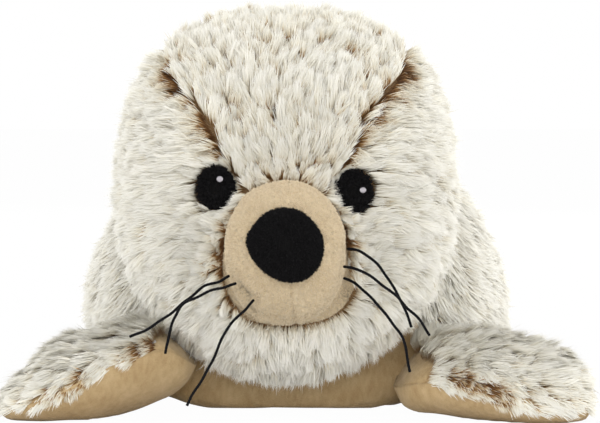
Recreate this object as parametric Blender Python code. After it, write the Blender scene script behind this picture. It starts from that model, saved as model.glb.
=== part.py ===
"""Plush seal lying on its belly: furry head and body, tan muzzle, belly and flipper soles.

The seal faces -Y and rests on Z = 0, under a point of its belly that is the origin.
Left and right are the seal's own, so its left is +X. Tables are in millimetres.
"""

import math

import bmesh
import bpy
import numpy as np
from mathutils import Matrix, Vector
from mathutils.bvhtree import BVHTree

MM = 0.001

# Cover
FUR_THICKNESS = 8.0
PLUSH_THICKNESS = 3.0
SEAM_THICKNESS = 4.0
CLEARANCE = 0.3
SEAM_GAP = 0.5
FILLING_CLEARANCE = 0.8
NOSE_CLEARANCE = 0.6
TUFT_HEIGHT = 2.0
SEAM_GROOVE = 2.4
SEAM_ALLOWANCE = 2.0
NECK_GROOVE = 2.0

# Head
MUZZLE_TIP_Y = -172.0
MUZZLE_SEAM_Y = -139.0
MUZZLE_Z = 85.0
MUZZLE_HALF_WIDTH = 28.5
MUZZLE_UP = 30.0
MUZZLE_DOWN = 38.0
LOBE_Z = 71.0
LOBE_HALF_WIDTH = 33.5
LOBE_UP = 43.0
LOBE_DOWN = 25.0
HEAD_Y = -80.0
HEAD_Z = 105.0
HEAD_HALF_WIDTH = 83.0
HEAD_UP = 95.0
HEAD_DOWN = 91.0
NECK_Y = -54.0
NECK_Z = 92.0
NECK_HALF_WIDTH = 78.0
NECK_UP = 84.0
NECK_DOWN = 86.0

# Body
BODY_Y = 16.0
BODY_Z = 42.0
BODY_HALF_WIDTH = 112.0
BODY_UP = 90.0
BODY_DOWN = 47.0
BODY_SWAY = 5.0
TAIL_Y = 148.0
TAIL_Z = 32.0

# Face
NOSE_HALF_WIDTH = 16.9
NOSE_UP = 15.4
NOSE_DOWN = 17.9
NOSE_BULGE = 5.0
NOSE_RIM = 1.6
NOSE_X = -0.2
NOSE_Z = 87.3
NOSE_SKEW = 2.8
NOSE_TRIM_UP = 0.79
NOSE_TRIM_DOWN = 0.33
EYE_RADIUS = 10.0
EYE_DEPTH = 4.4
EYE_THICKNESS = 2.4
EYE_DOME = 0.9
GLINT_RADIUS = 1.8
GLINT_THICKNESS = 0.6
WHISKER_RADIUS = 0.65

# Each row: y, z, lean in degrees, half width, height above z, depth below z,
# squareness above and below, sway to the left
BODY_ROWS = (
    (MUZZLE_TIP_Y, MUZZLE_Z, 0.0, 0.0, 0.0, 0.0, 2.0, 2.0, 0.0),
    (
        MUZZLE_TIP_Y + 1.6, MUZZLE_Z, 0.0, 0.36 * MUZZLE_HALF_WIDTH,
        0.36 * MUZZLE_UP, 0.33 * MUZZLE_DOWN, 2.0, 2.0, 0.0,
    ),
    (
        MUZZLE_TIP_Y + 6.5, MUZZLE_Z, 0.0, 0.68 * MUZZLE_HALF_WIDTH,
        0.68 * MUZZLE_UP, 0.64 * MUZZLE_DOWN, 2.1, 2.1, 0.0,
    ),
    (
        MUZZLE_TIP_Y + 14.5, MUZZLE_Z, 0.0, 0.92 * MUZZLE_HALF_WIDTH,
        0.90 * MUZZLE_UP, 0.87 * MUZZLE_DOWN, 2.1, 2.2, 0.0,
    ),
    (
        MUZZLE_TIP_Y + 23.0, MUZZLE_Z - 1.0, 0.0, MUZZLE_HALF_WIDTH,
        MUZZLE_UP + 1.0, MUZZLE_DOWN - 1.0, 2.1, 2.2, 0.0,
    ),
    (
        MUZZLE_SEAM_Y - 4.0, MUZZLE_Z - 6.0, 0.0, 0.98 * MUZZLE_HALF_WIDTH,
        MUZZLE_UP + 6.0, MUZZLE_DOWN - 6.0, 2.0, 2.2, 0.0,
    ),
    (MUZZLE_SEAM_Y, LOBE_Z, 0.0, LOBE_HALF_WIDTH, LOBE_UP, LOBE_DOWN, 1.9, 2.3, 0.0),
    (
        MUZZLE_SEAM_Y + 1.0, MUZZLE_Z - 4.0, 0.0, 0.51 * HEAD_HALF_WIDTH,
        0.45 * HEAD_UP, 0.47 * HEAD_DOWN, 2.2, 2.2, 0.0,
    ),
    (
        MUZZLE_SEAM_Y + 8.0, MUZZLE_Z + 5.0, 0.0, 0.70 * HEAD_HALF_WIDTH,
        0.61 * HEAD_UP, 0.67 * HEAD_DOWN, 2.3, 2.1, 0.0,
    ),
    (
        HEAD_Y - 37.0, HEAD_Z - 9.0, 4.0, 0.87 * HEAD_HALF_WIDTH,
        0.82 * HEAD_UP, 0.80 * HEAD_DOWN, 2.4, 2.0, 0.0,
    ),
    (
        HEAD_Y - 19.0, HEAD_Z - 3.0, 8.0, 0.96 * HEAD_HALF_WIDTH,
        0.94 * HEAD_UP, 0.94 * HEAD_DOWN, 2.5, 2.0, 0.0,
    ),
    (HEAD_Y, HEAD_Z, 14.0, HEAD_HALF_WIDTH, HEAD_UP, HEAD_DOWN, 2.6, 2.0, 0.0),
    (
        0.5 * (HEAD_Y + NECK_Y), HEAD_Z - 2.0, 21.0, HEAD_HALF_WIDTH,
        HEAD_UP, HEAD_DOWN, 2.5, 2.0, 0.0,
    ),
    (NECK_Y, NECK_Z, 28.0, NECK_HALF_WIDTH, NECK_UP, NECK_DOWN, 2.4, 2.1, 0.2 * BODY_SWAY),
    (
        NECK_Y + 9.0, NECK_Z - 16.0, 30.0, 0.81 * BODY_HALF_WIDTH,
        0.93 * BODY_UP, 1.84 * BODY_DOWN, 2.2, 3.1, 0.5 * BODY_SWAY,
    ),
    (
        BODY_Y - 29.0, BODY_Z + 14.0, 20.0, 0.94 * BODY_HALF_WIDTH,
        0.99 * BODY_UP, 1.35 * BODY_DOWN, 2.0, 2.9, BODY_SWAY,
    ),
    (BODY_Y, BODY_Z, 11.0, BODY_HALF_WIDTH, BODY_UP, BODY_DOWN, 2.0, 2.4, BODY_SWAY),
    (
        BODY_Y + 29.0, BODY_Z - 1.0, 5.0, 0.97 * BODY_HALF_WIDTH,
        0.91 * BODY_UP, 0.98 * BODY_DOWN, 2.0, 2.2, BODY_SWAY,
    ),
    (
        TAIL_Y - 73.0, BODY_Z - 3.0, 1.0, 0.85 * BODY_HALF_WIDTH,
        0.77 * BODY_UP, 0.94 * BODY_DOWN, 2.0, 2.2, BODY_SWAY,
    ),
    (
        TAIL_Y - 45.0, TAIL_Z + 2.0, -3.0, 0.66 * BODY_HALF_WIDTH,
        0.58 * BODY_UP, 0.89 * BODY_DOWN, 2.0, 2.2, BODY_SWAY,
    ),
    (
        TAIL_Y - 22.0, TAIL_Z, -4.0, 0.45 * BODY_HALF_WIDTH,
        0.39 * BODY_UP, 0.76 * BODY_DOWN, 2.0, 2.1, BODY_SWAY,
    ),
    (
        TAIL_Y - 6.0, TAIL_Z, -2.0, 0.24 * BODY_HALF_WIDTH,
        0.21 * BODY_UP, 0.46 * BODY_DOWN, 2.0, 2.0, BODY_SWAY,
    ),
    (TAIL_Y, TAIL_Z, 0.0, 0.0, 0.0, 0.0, 2.0, 2.0, BODY_SWAY),
)
# Rows cut in between each pair of table rows, and the rows where a seam runs
BODY_STEPS = (1, 1, 1, 1, 1, 1, 1, 1, 2, 2, 2, 1, 1, 2, 1, 2, 2, 2, 2, 2, 1, 1)
MUZZLE_SEAM_ROW = 6
NECK_SEAM_ROW = 13

# Cells from the crown line to the forehead seam, on to the belly seam, and on to the keel line
CROWN_CELLS = 3
SIDE_CELLS = 8
KEEL_CELLS = 4
FOREHEAD_ANGLES = (30.0, 34.0, 43.0, 40.0)
BELLY_ANGLE_FRONT = 128.0
BELLY_ANGLE_BACK = 122.0

# Each row: x, front seam y and z, back seam y and z, height over the seams, depth under them
FRONT_FLIPPER_RIGHT_ROWS = (
    (-43.0, -108.0, 24.0, -100.0, 25.0, 0.0, 0.0),
    (-47.0, -127.0, 29.0, -78.0, 28.0, 9.0, 12.0),
    (-58.0, -139.0, 35.0, -58.0, 30.0, 15.0, 25.0),
    (-74.0, -146.0, 31.0, -46.0, 27.0, 18.0, 28.0),
    (-92.0, -149.0, 23.0, -46.0, 21.0, 21.0, 26.0),
    (-109.0, -148.0, 14.0, -56.0, 16.0, 24.0, 18.0),
    (-122.0, -143.0, 9.0, -70.0, 11.0, 18.0, 12.0),
    (-133.0, -134.0, 6.0, -86.0, 7.0, 11.0, 7.0),
    (-139.0, -115.0, 5.0, -108.0, 5.0, 0.0, 0.0),
)
FRONT_FLIPPER_LEFT_ROWS = (
    (52.0, -108.0, 13.0, -98.0, 14.0, 0.0, 0.0),
    (57.0, -128.0, 17.0, -76.0, 20.0, 12.0, 14.0),
    (67.0, -140.0, 19.0, -58.0, 24.0, 19.0, 20.0),
    (83.0, -147.0, 17.0, -46.0, 22.0, 23.0, 20.0),
    (100.0, -150.0, 13.0, -46.0, 18.0, 27.0, 18.0),
    (118.0, -150.0, 8.0, -54.0, 14.0, 27.0, 14.0),
    (133.0, -145.0, 7.0, -66.0, 11.0, 24.0, 12.0),
    (143.0, -134.0, 7.0, -84.0, 9.0, 17.0, 9.0),
    (148.0, -114.0, 9.0, -106.0, 9.0, 0.0, 0.0),
)
# Each row: y, inner seam x and z, outer seam x and z, height over the seams, depth under them
REAR_FLIPPER_ROWS = (
    (126.0, 14.0, 16.0, 22.0, 17.0, 0.0, 0.0),
    (130.0, 8.0, 16.0, 34.0, 18.0, 10.0, 12.0),
    (140.0, 5.0, 14.0, 44.0, 17.0, 13.0, 14.0),
    (152.0, 7.0, 11.0, 54.0, 14.0, 12.0, 12.0),
    (164.0, 15.0, 8.0, 62.0, 10.0, 10.0, 10.0),
    (174.0, 28.0, 6.0, 66.0, 7.0, 7.0, 7.0),
    (180.0, 46.0, 5.0, 54.0, 5.0, 0.0, 0.0),
)
FLIPPER_STEPS = (1, 1, 2, 2, 2, 2, 1, 1)
REAR_FLIPPER_STEPS = (1, 1, 2, 2, 1, 1)
FLIPPER_CELLS = 6

# Eye centres and the place of each highlight on its eye, across and up
EYES = {
    "left": ((32.2, 109.5), (4.2, 0.6)),
    "right": ((-33.1, 111.3), (2.2, 4.0)),
}

# Whiskers: points across, toward the back and up
WHISKERS = {
    "right_upper": (
        (-23.5, -155, 72), (-30.5, -159, 69), (-37.5, -160, 66.5), (-44, -158, 61),
        (-51, -155, 55.5), (-59.5, -150, 49), (-66.5, -146, 44), (-73, -142, 41.5),
    ),
    "right_middle": (
        (-20, -158, 69), (-28.5, -163, 66.5), (-34, -165, 65), (-40, -164, 62),
        (-47.5, -161, 58), (-51.5, -157, 52), (-54, -155, 44), (-55.5, -154, 34.5),
    ),
    "right_lower": (
        (-14, -162, 61), (-21, -168, 54), (-26, -170, 48.5), (-31, -169, 38.5),
        (-37.5, -166, 25.5), (-45.5, -162, 11.5),
    ),
    "left_upper": (
        (28.5, -152, 83.5), (34, -156, 83), (39, -157, 79.5), (43.5, -157, 75.5),
        (48, -155, 69.5), (52, -153, 62.5), (55.5, -151, 55), (59, -149, 46.5),
    ),
    "left_middle": (
        (26, -155, 75.5), (32, -160, 75), (38, -161, 72), (45, -160, 67),
        (51.5, -158, 62), (57, -154, 55.5), (63, -151, 49.5), (67.5, -149, 42.5),
    ),
    "left_lower": (
        (28.5, -152, 69.5), (32, -156, 68), (36.5, -160, 64), (41, -161, 60), (46, -161, 54.5),
        (49.5, -160, 49.5), (53.5, -158, 44), (55.5, -156, 38.5), (57, -154, 32.5), (58, -153, 26),
    ),
}

COLOURS = {
    "fur": ((0.74, 0.68, 0.57), 0.95),
    "tan": ((0.68, 0.52, 0.33), 0.9),
    "black_pile": ((0.012, 0.012, 0.012), 0.85),
    "thread": ((0.02, 0.02, 0.024), 0.5),
    "white_thread": ((0.85, 0.85, 0.83), 0.6),
    "filling": ((0.9, 0.9, 0.88), 0.95),
}


def clear_scene():
    """Take every object out of the startup scene."""
    for obj in list(bpy.data.objects):
        bpy.data.objects.remove(obj, do_unlink=True)


def slopes_of(values):
    """Slopes through evenly spaced values that never overshoot them."""
    steps = np.diff(values)
    slopes = np.zeros(len(values))
    slopes[0] = steps[0]
    slopes[-1] = steps[-1]
    for i in range(1, len(values) - 1):
        if steps[i - 1] * steps[i] > 0:
            slopes[i] = 2 * steps[i - 1] * steps[i] / (steps[i - 1] + steps[i])
    return slopes


def filled_rows(rows, steps):
    """Table rows with smooth rows cut in between them."""
    table = np.array(rows, float)
    slopes = np.array([slopes_of(column) for column in table.T]).T
    filled = [table[0]]
    for i, count in enumerate(steps):
        for k in range(1, count + 1):
            t = k / count
            start = (2 * t**3 - 3 * t**2 + 1) * table[i] + (t**3 - 2 * t**2 + t) * slopes[i]
            end = (3 * t**2 - 2 * t**3) * table[i + 1] + (t**3 - t**2) * slopes[i + 1]
            filled.append(start + end)
    return np.array(filled)


def row_after(steps, row):
    """Where a table row lies once rows are cut in."""
    return sum(steps[:row])


def body_angles(row, muzzle_row, neck_row, last_row):
    """Angle of each column from the crown line, round to the left side and back."""
    if row <= neck_row:
        forehead = np.interp(row, (muzzle_row, muzzle_row + 2, muzzle_row + 5, neck_row), FOREHEAD_ANGLES)
        belly = BELLY_ANGLE_FRONT
    else:
        forehead = FOREHEAD_ANGLES[-1]
        belly = np.interp(row, (neck_row, last_row), (BELLY_ANGLE_FRONT, BELLY_ANGLE_BACK))
    crown = np.linspace(0, forehead, CROWN_CELLS + 1)
    side = np.linspace(forehead, belly, SIDE_CELLS + 1)
    keel = np.linspace(belly, 180, KEEL_CELLS + 1)
    half = np.concatenate([crown, side[1:], keel[1:]])
    return np.radians(np.concatenate([half, 360 - half[-2:0:-1]]))


def body_ring(row, angles):
    """Points round one row of the head and body, held on the table where they would sink."""
    y, z, lean, width, up, down, power_up, power_down, sway = row
    power = np.where(np.cos(angles) > 0, power_up, power_down)
    across = np.sign(np.sin(angles)) * np.abs(np.sin(angles)) ** (2 / power)
    along = np.sign(np.cos(angles)) * np.abs(np.cos(angles)) ** (2 / power)
    height = np.where(along > 0, up, down) * along
    lean = math.radians(lean)
    places = (sway + width * across, y + height * math.sin(lean), z + height * math.cos(lean))
    points = np.stack(places, axis=1)
    points[:, 2] = np.maximum(points[:, 2], 0.0)
    return points


def flipper_ring(row, runs_across, angles):
    """Points round one row of a flipper: the front seam first, then over the top."""
    place, front, front_z, back, back_z, up, down = row
    blend = 0.5 + 0.5 * np.cos(angles)
    level = front_z * blend + back_z * (1 - blend)
    rise = np.sin(angles)
    z = np.maximum(level + np.where(rise > 0, up, down) * rise, 0.0)
    chord = front * blend + back * (1 - blend)
    places = np.full(len(angles), place)
    return np.stack([places, chord, z] if runs_across else [chord, places, z], axis=1)


class Skin:
    """A closed surface of rings, whose first and last rings are single points."""

    def __init__(self, rings, depths):
        self.outer = np.array(rings, float)
        self.depths = np.array(depths, float)
        self.normals = self.point_normals()

    def volume(self):
        """Six times the enclosed volume, below zero where the faces look inward."""
        a = self.outer[:-1]
        b = self.outer[1:]
        c = np.roll(b, -1, axis=1)
        d = np.roll(a, -1, axis=1)
        first = np.einsum("ijk,ijk->", a, np.cross(b, c))
        second = np.einsum("ijk,ijk->", a, np.cross(c, d))
        return first + second

    def point_normals(self):
        """Outward normal at each point, the same for all points of an end."""
        rows = np.zeros_like(self.outer)
        rows[1:-1] = self.outer[2:] - self.outer[:-2]
        columns = np.roll(self.outer, -1, axis=1) - np.roll(self.outer, 1, axis=1)
        normals = np.cross(rows, columns)
        for end, inner in ((0, 1), (-1, -2)):
            normals[end] = self.outer[end, 0] - self.outer[inner].mean(axis=0)
        if self.volume() < 0:
            normals[1:-1] *= -1
        return normals / np.maximum(np.linalg.norm(normals, axis=2, keepdims=True), 1e-9)

    def sunk(self, extra=0.0):
        """The surface moved in by each point's depth and some more."""
        return self.outer - (self.depths + extra)[..., None] * self.normals

    def filling(self, seams):
        """The face of the filling, which stays inside the cover and the cloth turned in at its seams."""
        extra = np.full(self.depths.shape, FILLING_CLEARANCE)
        extra[1:-1, seams] += SEAM_ALLOWANCE
        return self.sunk(extra)

    def raised(self, by):
        """The surface moved out."""
        return self.outer + by * self.normals


def displaced(skin, amounts):
    """The skin with its outer face moved in or out, its inner face left where it was."""
    moved = Skin(skin.outer + amounts[..., None] * skin.normals, skin.depths + amounts)
    moved.normals = skin.normals
    return moved


def make_object(name, bm, finish=None):
    """Turn a mesh in millimetres into a named object in metres, with its own material."""
    bmesh.ops.scale(bm, vec=(MM, MM, MM), verts=bm.verts[:])
    mesh = bpy.data.meshes.new(name)
    bm.to_mesh(mesh)
    bm.free()
    obj = bpy.data.objects.new(name, mesh)
    bpy.context.collection.objects.link(obj)
    if finish is None:
        obj.hide_render = True
        obj.display_type = "WIRE"
    else:
        mesh.materials.append(make_material(name, finish))
    return obj


def make_material(name, finish):
    """A material of the node's own, coloured as its stuff."""
    colour, roughness = COLOURS[finish]
    material = bpy.data.materials.new(name)
    material.use_nodes = True
    shader = material.node_tree.nodes["Principled BSDF"]
    shader.inputs["Base Color"].default_value = (*colour, 1.0)
    shader.inputs["Roughness"].default_value = roughness
    shader.inputs["Metallic"].default_value = 0.0
    return material


def add_cells(bm, grid, wraps):
    """Two triangles per cell of a grid of points, one where the cell meets an end point."""
    slot = bm.verts.layers.int.new("slot")
    rows = []
    count = 0
    for points in grid:
        single = np.ptp(points, axis=0).max() < 1e-6
        row = [bm.verts.new(point) for point in (points[:1] if single else points)]
        for vert in row:
            vert[slot] = count
            count += 1
        rows.append(row * len(points) if single else row)
    last = len(grid[0]) if wraps else len(grid[0]) - 1
    for lower, upper in zip(rows[:-1], rows[1:]):
        for j in range(last):
            k = (j + 1) % len(lower)
            for corners in ((lower[j], upper[j], upper[k]), (lower[j], upper[k], lower[k])):
                if len(set(corners)) == 3:
                    bm.faces.new(corners)


def closed_solid(name, grid, finish=None):
    """A solid bounded by rings that end in single points."""
    bm = bmesh.new()
    add_cells(bm, grid, wraps=True)
    bmesh.ops.recalc_face_normals(bm, faces=bm.faces[:])
    return make_object(name, bm, finish)


def pulled_back(points, gap, ends):
    """The grid with its open edges drawn in by a gap, so that neighbours stay clear."""
    moved = points.copy()
    for axis, edge, inner in ends:
        before = np.take(points, edge, axis=axis)
        step = np.take(points, inner, axis=axis) - before
        length = np.maximum(np.linalg.norm(step, axis=1, keepdims=True), 1e-6)
        shifted = np.take(moved, edge, axis=axis) + gap * step / length
        if axis == 0:
            moved[edge] = shifted
        else:
            moved[:, edge] = shifted
    return moved


def single_ends(grid, normals):
    """Pull each end point sideways, toward the middle of the row next to it."""
    for end, inner in ((0, 1), (-1, -2)):
        if np.ptp(grid[end], axis=0).max() < 1e-6:
            step = grid[inner][grid.shape[1] // 2] - grid[end][0]
            normal = normals[end][0]
            step -= step.dot(normal) * normal
            grid[end] += 0.5 * SEAM_GAP * step / np.linalg.norm(step)
    return grid


def panel(name, skin, rows, columns, finish, wraps=False):
    """A sewn panel: the part of a skin between two rows and two columns, as thick as its cover."""
    span = np.arange(columns[0], columns[1] + 1) % skin.outer.shape[1]
    if wraps:
        span = span[:-1]
    picked = slice(rows[0], rows[1] + 1)
    faces = []
    for surface in (skin.outer, skin.sunk()):
        grid = surface[picked][:, span]
        ends = []
        if not wraps:
            ends += [(1, 0, 1), (1, -1, -2)]
        if rows[0] > 0:
            ends.append((0, 0, 1))
        if rows[1] < len(skin.outer) - 1:
            ends.append((0, -1, -2))
        grid = pulled_back(grid, 0.5 * SEAM_GAP, ends)
        if not wraps:
            grid = single_ends(grid, skin.normals[picked])
        faces.append(grid)
    outer, inner = faces
    bm = bmesh.new()
    add_cells(bm, outer, wraps)
    slot = bm.verts.layers.int["slot"]
    inner_points = []
    for row, points in enumerate(inner):
        single = np.ptp(outer[row], axis=0).max() < 1e-6
        inner_points.extend(points[:1] if single else points)
    made = bmesh.ops.extrude_face_region(bm, geom=bm.faces[:])
    for item in made["geom"]:
        if isinstance(item, bmesh.types.BMVert):
            item.co = inner_points[item[slot]]
    bmesh.ops.triangulate(bm, faces=bm.faces[:], quad_method="SHORT_EDGE")
    bmesh.ops.recalc_face_normals(bm, faces=bm.faces[:])
    return make_object(name, bm, finish)


def body_skin():
    """The outer face of head and body, with its seams drawn in and its fur in low tufts."""
    rows = filled_rows(BODY_ROWS, BODY_STEPS)
    last = len(rows) - 1
    muzzle = row_after(BODY_STEPS, MUZZLE_SEAM_ROW)
    neck = row_after(BODY_STEPS, NECK_SEAM_ROW)
    rings = [body_ring(row, body_angles(i, muzzle, neck, last)) for i, row in enumerate(rows)]
    columns = len(rings[0])
    left_seam = CROWN_CELLS
    right_seam = columns - CROWN_CELLS
    left_belly = CROWN_CELLS + SIDE_CELLS
    right_belly = columns - left_belly
    keel = columns // 2
    depths = np.full((last + 1, columns), FUR_THICKNESS)
    depths[:muzzle] = PLUSH_THICKNESS
    depths[neck:, left_belly : right_belly + 1] = PLUSH_THICKNESS
    for seam in (left_belly, right_belly):
        depths[neck:, seam] = SEAM_THICKNESS
    depths[last] = SEAM_THICKNESS
    skin = Skin(rings, depths)
    amounts = np.zeros((last + 1, columns))
    for i in range(muzzle + 1, last):
        for j in range(columns):
            bare = i >= neck and left_belly <= j <= right_belly
            if not bare:
                amounts[i, j] = TUFT_HEIGHT * math.sin(2.4 * i + 1.7 * j) * math.cos(1.1 * j - 0.9 * i)
    amounts[muzzle + 1 : neck, [left_seam, right_seam]] = -SEAM_GROOVE
    amounts[muzzle + 1 : neck, keel] = -SEAM_GROOVE
    amounts[neck] = -NECK_GROOVE
    skin = displaced(skin, amounts)
    skin.outer[..., 2] = np.maximum(skin.outer[..., 2], 0.0)
    places = {
        "muzzle": muzzle,
        "neck": neck,
        "last": last,
        "left_seam": left_seam,
        "right_seam": right_seam,
        "left_belly": left_belly,
        "right_belly": right_belly,
        "keel": keel,
        "columns": columns,
    }
    return skin, places


def flipper_skin(rows, steps, runs_across):
    """The outer face of one flipper and the depth of its cover."""
    table = filled_rows(rows, steps)
    angles = np.linspace(0, 2 * math.pi, 2 * FLIPPER_CELLS, endpoint=False)
    rings = []
    depths = []
    for i, row in enumerate(table):
        ring = flipper_ring(row, runs_across, angles)
        if i in (0, len(table) - 1):
            ring[:] = ring.mean(axis=0)
        rings.append(ring)
        thick = row[5] + row[6]
        depth = []
        for rise in np.sin(angles):
            if abs(rise) < 1e-6:
                depth.append(min(SEAM_THICKNESS, 0.12 * thick))
            elif rise > 0:
                depth.append(min(FUR_THICKNESS, 0.28 * thick * rise))
            else:
                depth.append(min(PLUSH_THICKNESS, -0.12 * thick * rise))
        depths.append(depth)
    depths[0] = [min(depths[1])] * len(angles)
    depths[-1] = [min(depths[-2])] * len(angles)
    return Skin(rings, depths)


def carve(obj, cutter):
    """Cut the shape of another object out of a piece."""
    modifier = obj.modifiers.new(cutter.name, "BOOLEAN")
    modifier.operation = "DIFFERENCE"
    modifier.solver = "EXACT"
    modifier.object = cutter


def make_flipper(name, rows, steps, runs_across, body_room):
    """Top, sole and filling of one flipper, cut to lie against the body."""
    skin = flipper_skin(rows, steps, runs_across)
    last = len(skin.outer) - 1
    count = 2 * FLIPPER_CELLS
    pieces = [
        panel(name + "_top", skin, (0, last), (0, FLIPPER_CELLS), "fur"),
        panel(name + "_sole", skin, (0, last), (FLIPPER_CELLS, count), "tan"),
        closed_solid(name + "_filling", skin.filling([0, FLIPPER_CELLS]), "filling"),
    ]
    for piece in pieces:
        carve(piece, body_room)


def surface_tree(grid):
    """A search tree over one closed surface."""
    bm = bmesh.new()
    add_cells(bm, grid, wraps=True)
    bmesh.ops.recalc_face_normals(bm, faces=bm.faces[:])
    tree = BVHTree.FromBMesh(bm)
    bm.free()
    return tree


def seen_from_front(tree, x, z):
    """The point and normal of the surface that a straight look from the front meets."""
    place, normal, _, _ = tree.ray_cast(Vector((x, -1000.0, z)), Vector((0.0, 1.0, 0.0)))
    if normal.y > 0:
        normal = -normal
    return place, normal


def nose_place(share, angle):
    """A place on the nose from the front: trimmed corners, and a bottom that leans to the left."""
    rise = math.sin(angle)
    trim, height = (NOSE_TRIM_UP, NOSE_UP) if rise > 0 else (NOSE_TRIM_DOWN, NOSE_DOWN)
    across = NOSE_HALF_WIDTH * math.cos(angle) * (1.0 - trim * (rise * math.cos(angle)) ** 2)
    lean = NOSE_SKEW * max(0.0, -rise)
    return NOSE_X + share * (across + lean), NOSE_Z + share * height * rise


def nose_grid(tree):
    """Rings of the nose, from the middle of its front to the middle of its back."""
    spokes = 20
    fronts = (0.0, 0.35, 0.62, 0.84, 0.96, 1.0)
    backs = (0.97, 0.84, 0.68, 0.5, 0.3, 0.0)
    angles = np.linspace(0, 2 * math.pi, spokes, endpoint=False)
    grid = []
    for share, front in [(s, True) for s in fronts] + [(s, False) for s in backs]:
        ring = []
        for angle in angles:
            x, z = nose_place(share, angle)
            place, normal = seen_from_front(tree, x, z)
            lift = NOSE_CLEARANCE
            if front:
                lift += NOSE_RIM + (NOSE_BULGE - NOSE_RIM) * math.sqrt(max(0.0, 1.0 - share**2))
            ring.append(place + lift * normal)
        grid.append(np.array(ring))
    return grid


def facing_frame(place, normal):
    """A frame at a point of the surface, its third axis outward and its second upward."""
    up = Vector((0.0, 0.0, 1.0))
    across = up.cross(normal).normalized()
    rise = normal.cross(across)
    turn = Matrix((across, rise, normal)).transposed().to_4x4()
    return Matrix.Translation(place) @ turn


def button(name, radius, low, high, dome, frame, finish=None, spokes=20):
    """A round flat piece with a domed face, standing on a frame's plane."""
    angles = np.linspace(0, 2 * math.pi, spokes, endpoint=False)
    profile = [(0.0, high + dome), (0.5, high + 0.75 * dome), (0.86, high + 0.25 * dome), (1.0, high)]
    profile += [(1.0, low), (0.0, low)]
    grid = []
    for share, height in profile:
        ring = []
        for angle in angles:
            point = Vector((share * radius * math.cos(angle), share * radius * math.sin(angle), height))
            ring.append(frame @ point)
        grid.append(np.array(ring))
    return closed_solid(name, grid, finish)


def make_eye(side, tree, cheek):
    """One eye in its pocket in the cheek fur, with its highlight."""
    (x, z), (glint_x, glint_z) = EYES[side]
    place, normal = seen_from_front(tree, x, z)
    frame = facing_frame(place, normal)
    pocket = button("eye_pocket_" + side, EYE_RADIUS + CLEARANCE, -EYE_DEPTH, 12.0, 0.0, frame)
    carve(cheek, pocket)
    low = CLEARANCE - EYE_DEPTH
    high = low + EYE_THICKNESS
    button("eye_" + side, EYE_RADIUS, low, high, EYE_DOME, frame, "black_pile")
    glint_low = high + EYE_DOME + CLEARANCE
    offset = frame @ Matrix.Translation((glint_x, glint_z, 0.0))
    glint_high = glint_low + GLINT_THICKNESS
    button("eye_glint_" + side, GLINT_RADIUS, glint_low, glint_high, 0.2, offset, "white_thread", 12)


def make_whisker(name, points, tree):
    """One thread, starting just clear of the muzzle."""
    path = [Vector(point) for point in points]
    place, _, _, _ = tree.find_nearest(path[0])
    away = (path[1] - place).normalized()
    path[0] = place + (WHISKER_RADIUS + CLEARANCE) * away
    curve = bpy.data.curves.new(name, "CURVE")
    curve.dimensions = "3D"
    curve.bevel_depth = WHISKER_RADIUS * MM
    curve.bevel_resolution = 1
    curve.use_fill_caps = True
    spline = curve.splines.new("POLY")
    spline.points.add(len(path) - 1)
    for target, point in zip(spline.points, path):
        target.co = (*(point * MM), 1.0)
    curve.materials.append(make_material(name, "thread"))
    obj = bpy.data.objects.new(name, curve)
    bpy.context.collection.objects.link(obj)


def main():
    clear_scene()
    skin, at = body_skin()
    neck = at["neck"]
    last = at["last"]
    muzzle = at["muzzle"]
    columns = at["columns"]
    panel("muzzle_cover", skin, (0, muzzle), (0, columns), "tan", wraps=True)
    panel("forehead_panel", skin, (muzzle, neck), (at["right_seam"], columns + at["left_seam"]), "fur")
    cheek_left = panel("cheek_left", skin, (muzzle, neck), (at["left_seam"], at["keel"]), "fur")
    cheek_right = panel("cheek_right", skin, (muzzle, neck), (at["keel"], at["right_seam"]), "fur")
    panel("back_panel", skin, (neck, last), (at["right_belly"], columns + at["left_belly"]), "fur")
    panel("belly_panel", skin, (neck, last), (at["left_belly"], at["right_belly"]), "tan")
    closed_solid("body_stuffing", skin.filling([at["left_belly"], at["right_belly"]]), "filling")
    body_room = closed_solid("body_room", skin.raised(CLEARANCE))
    tree = surface_tree(skin.outer)
    closed_solid("nose", nose_grid(tree), "black_pile")
    make_eye("left", tree, cheek_left)
    make_eye("right", tree, cheek_right)
    for name, points in WHISKERS.items():
        make_whisker("whisker_" + name, points, tree)
    make_flipper("front_flipper_left", FRONT_FLIPPER_LEFT_ROWS, FLIPPER_STEPS, True, body_room)
    make_flipper("front_flipper_right", FRONT_FLIPPER_RIGHT_ROWS, FLIPPER_STEPS, True, body_room)
    mirrored = [(row[0], -row[1], row[2], -row[3], *row[4:]) for row in REAR_FLIPPER_ROWS]
    make_flipper("rear_flipper_left", REAR_FLIPPER_ROWS, REAR_FLIPPER_STEPS, False, body_room)
    make_flipper("rear_flipper_right", mirrored, REAR_FLIPPER_STEPS, False, body_room)


main()
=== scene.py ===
"""Looks of a plush seal: long tipped fur, short tan plush, black pile nose and eyes.

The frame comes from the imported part. Tables are in millimetres, as in the part's source,
and every mesh is made in metres. Left and right are the seal's own, so its left is +X.
"""

from __future__ import annotations

import logging
import math
from dataclasses import dataclass, field, fields
from enum import Enum, IntEnum

import bmesh
import bpy
import numpy as np
from mathutils import Matrix, Vector
from mathutils.bvhtree import BVHTree
from mathutils.kdtree import KDTree


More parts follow.
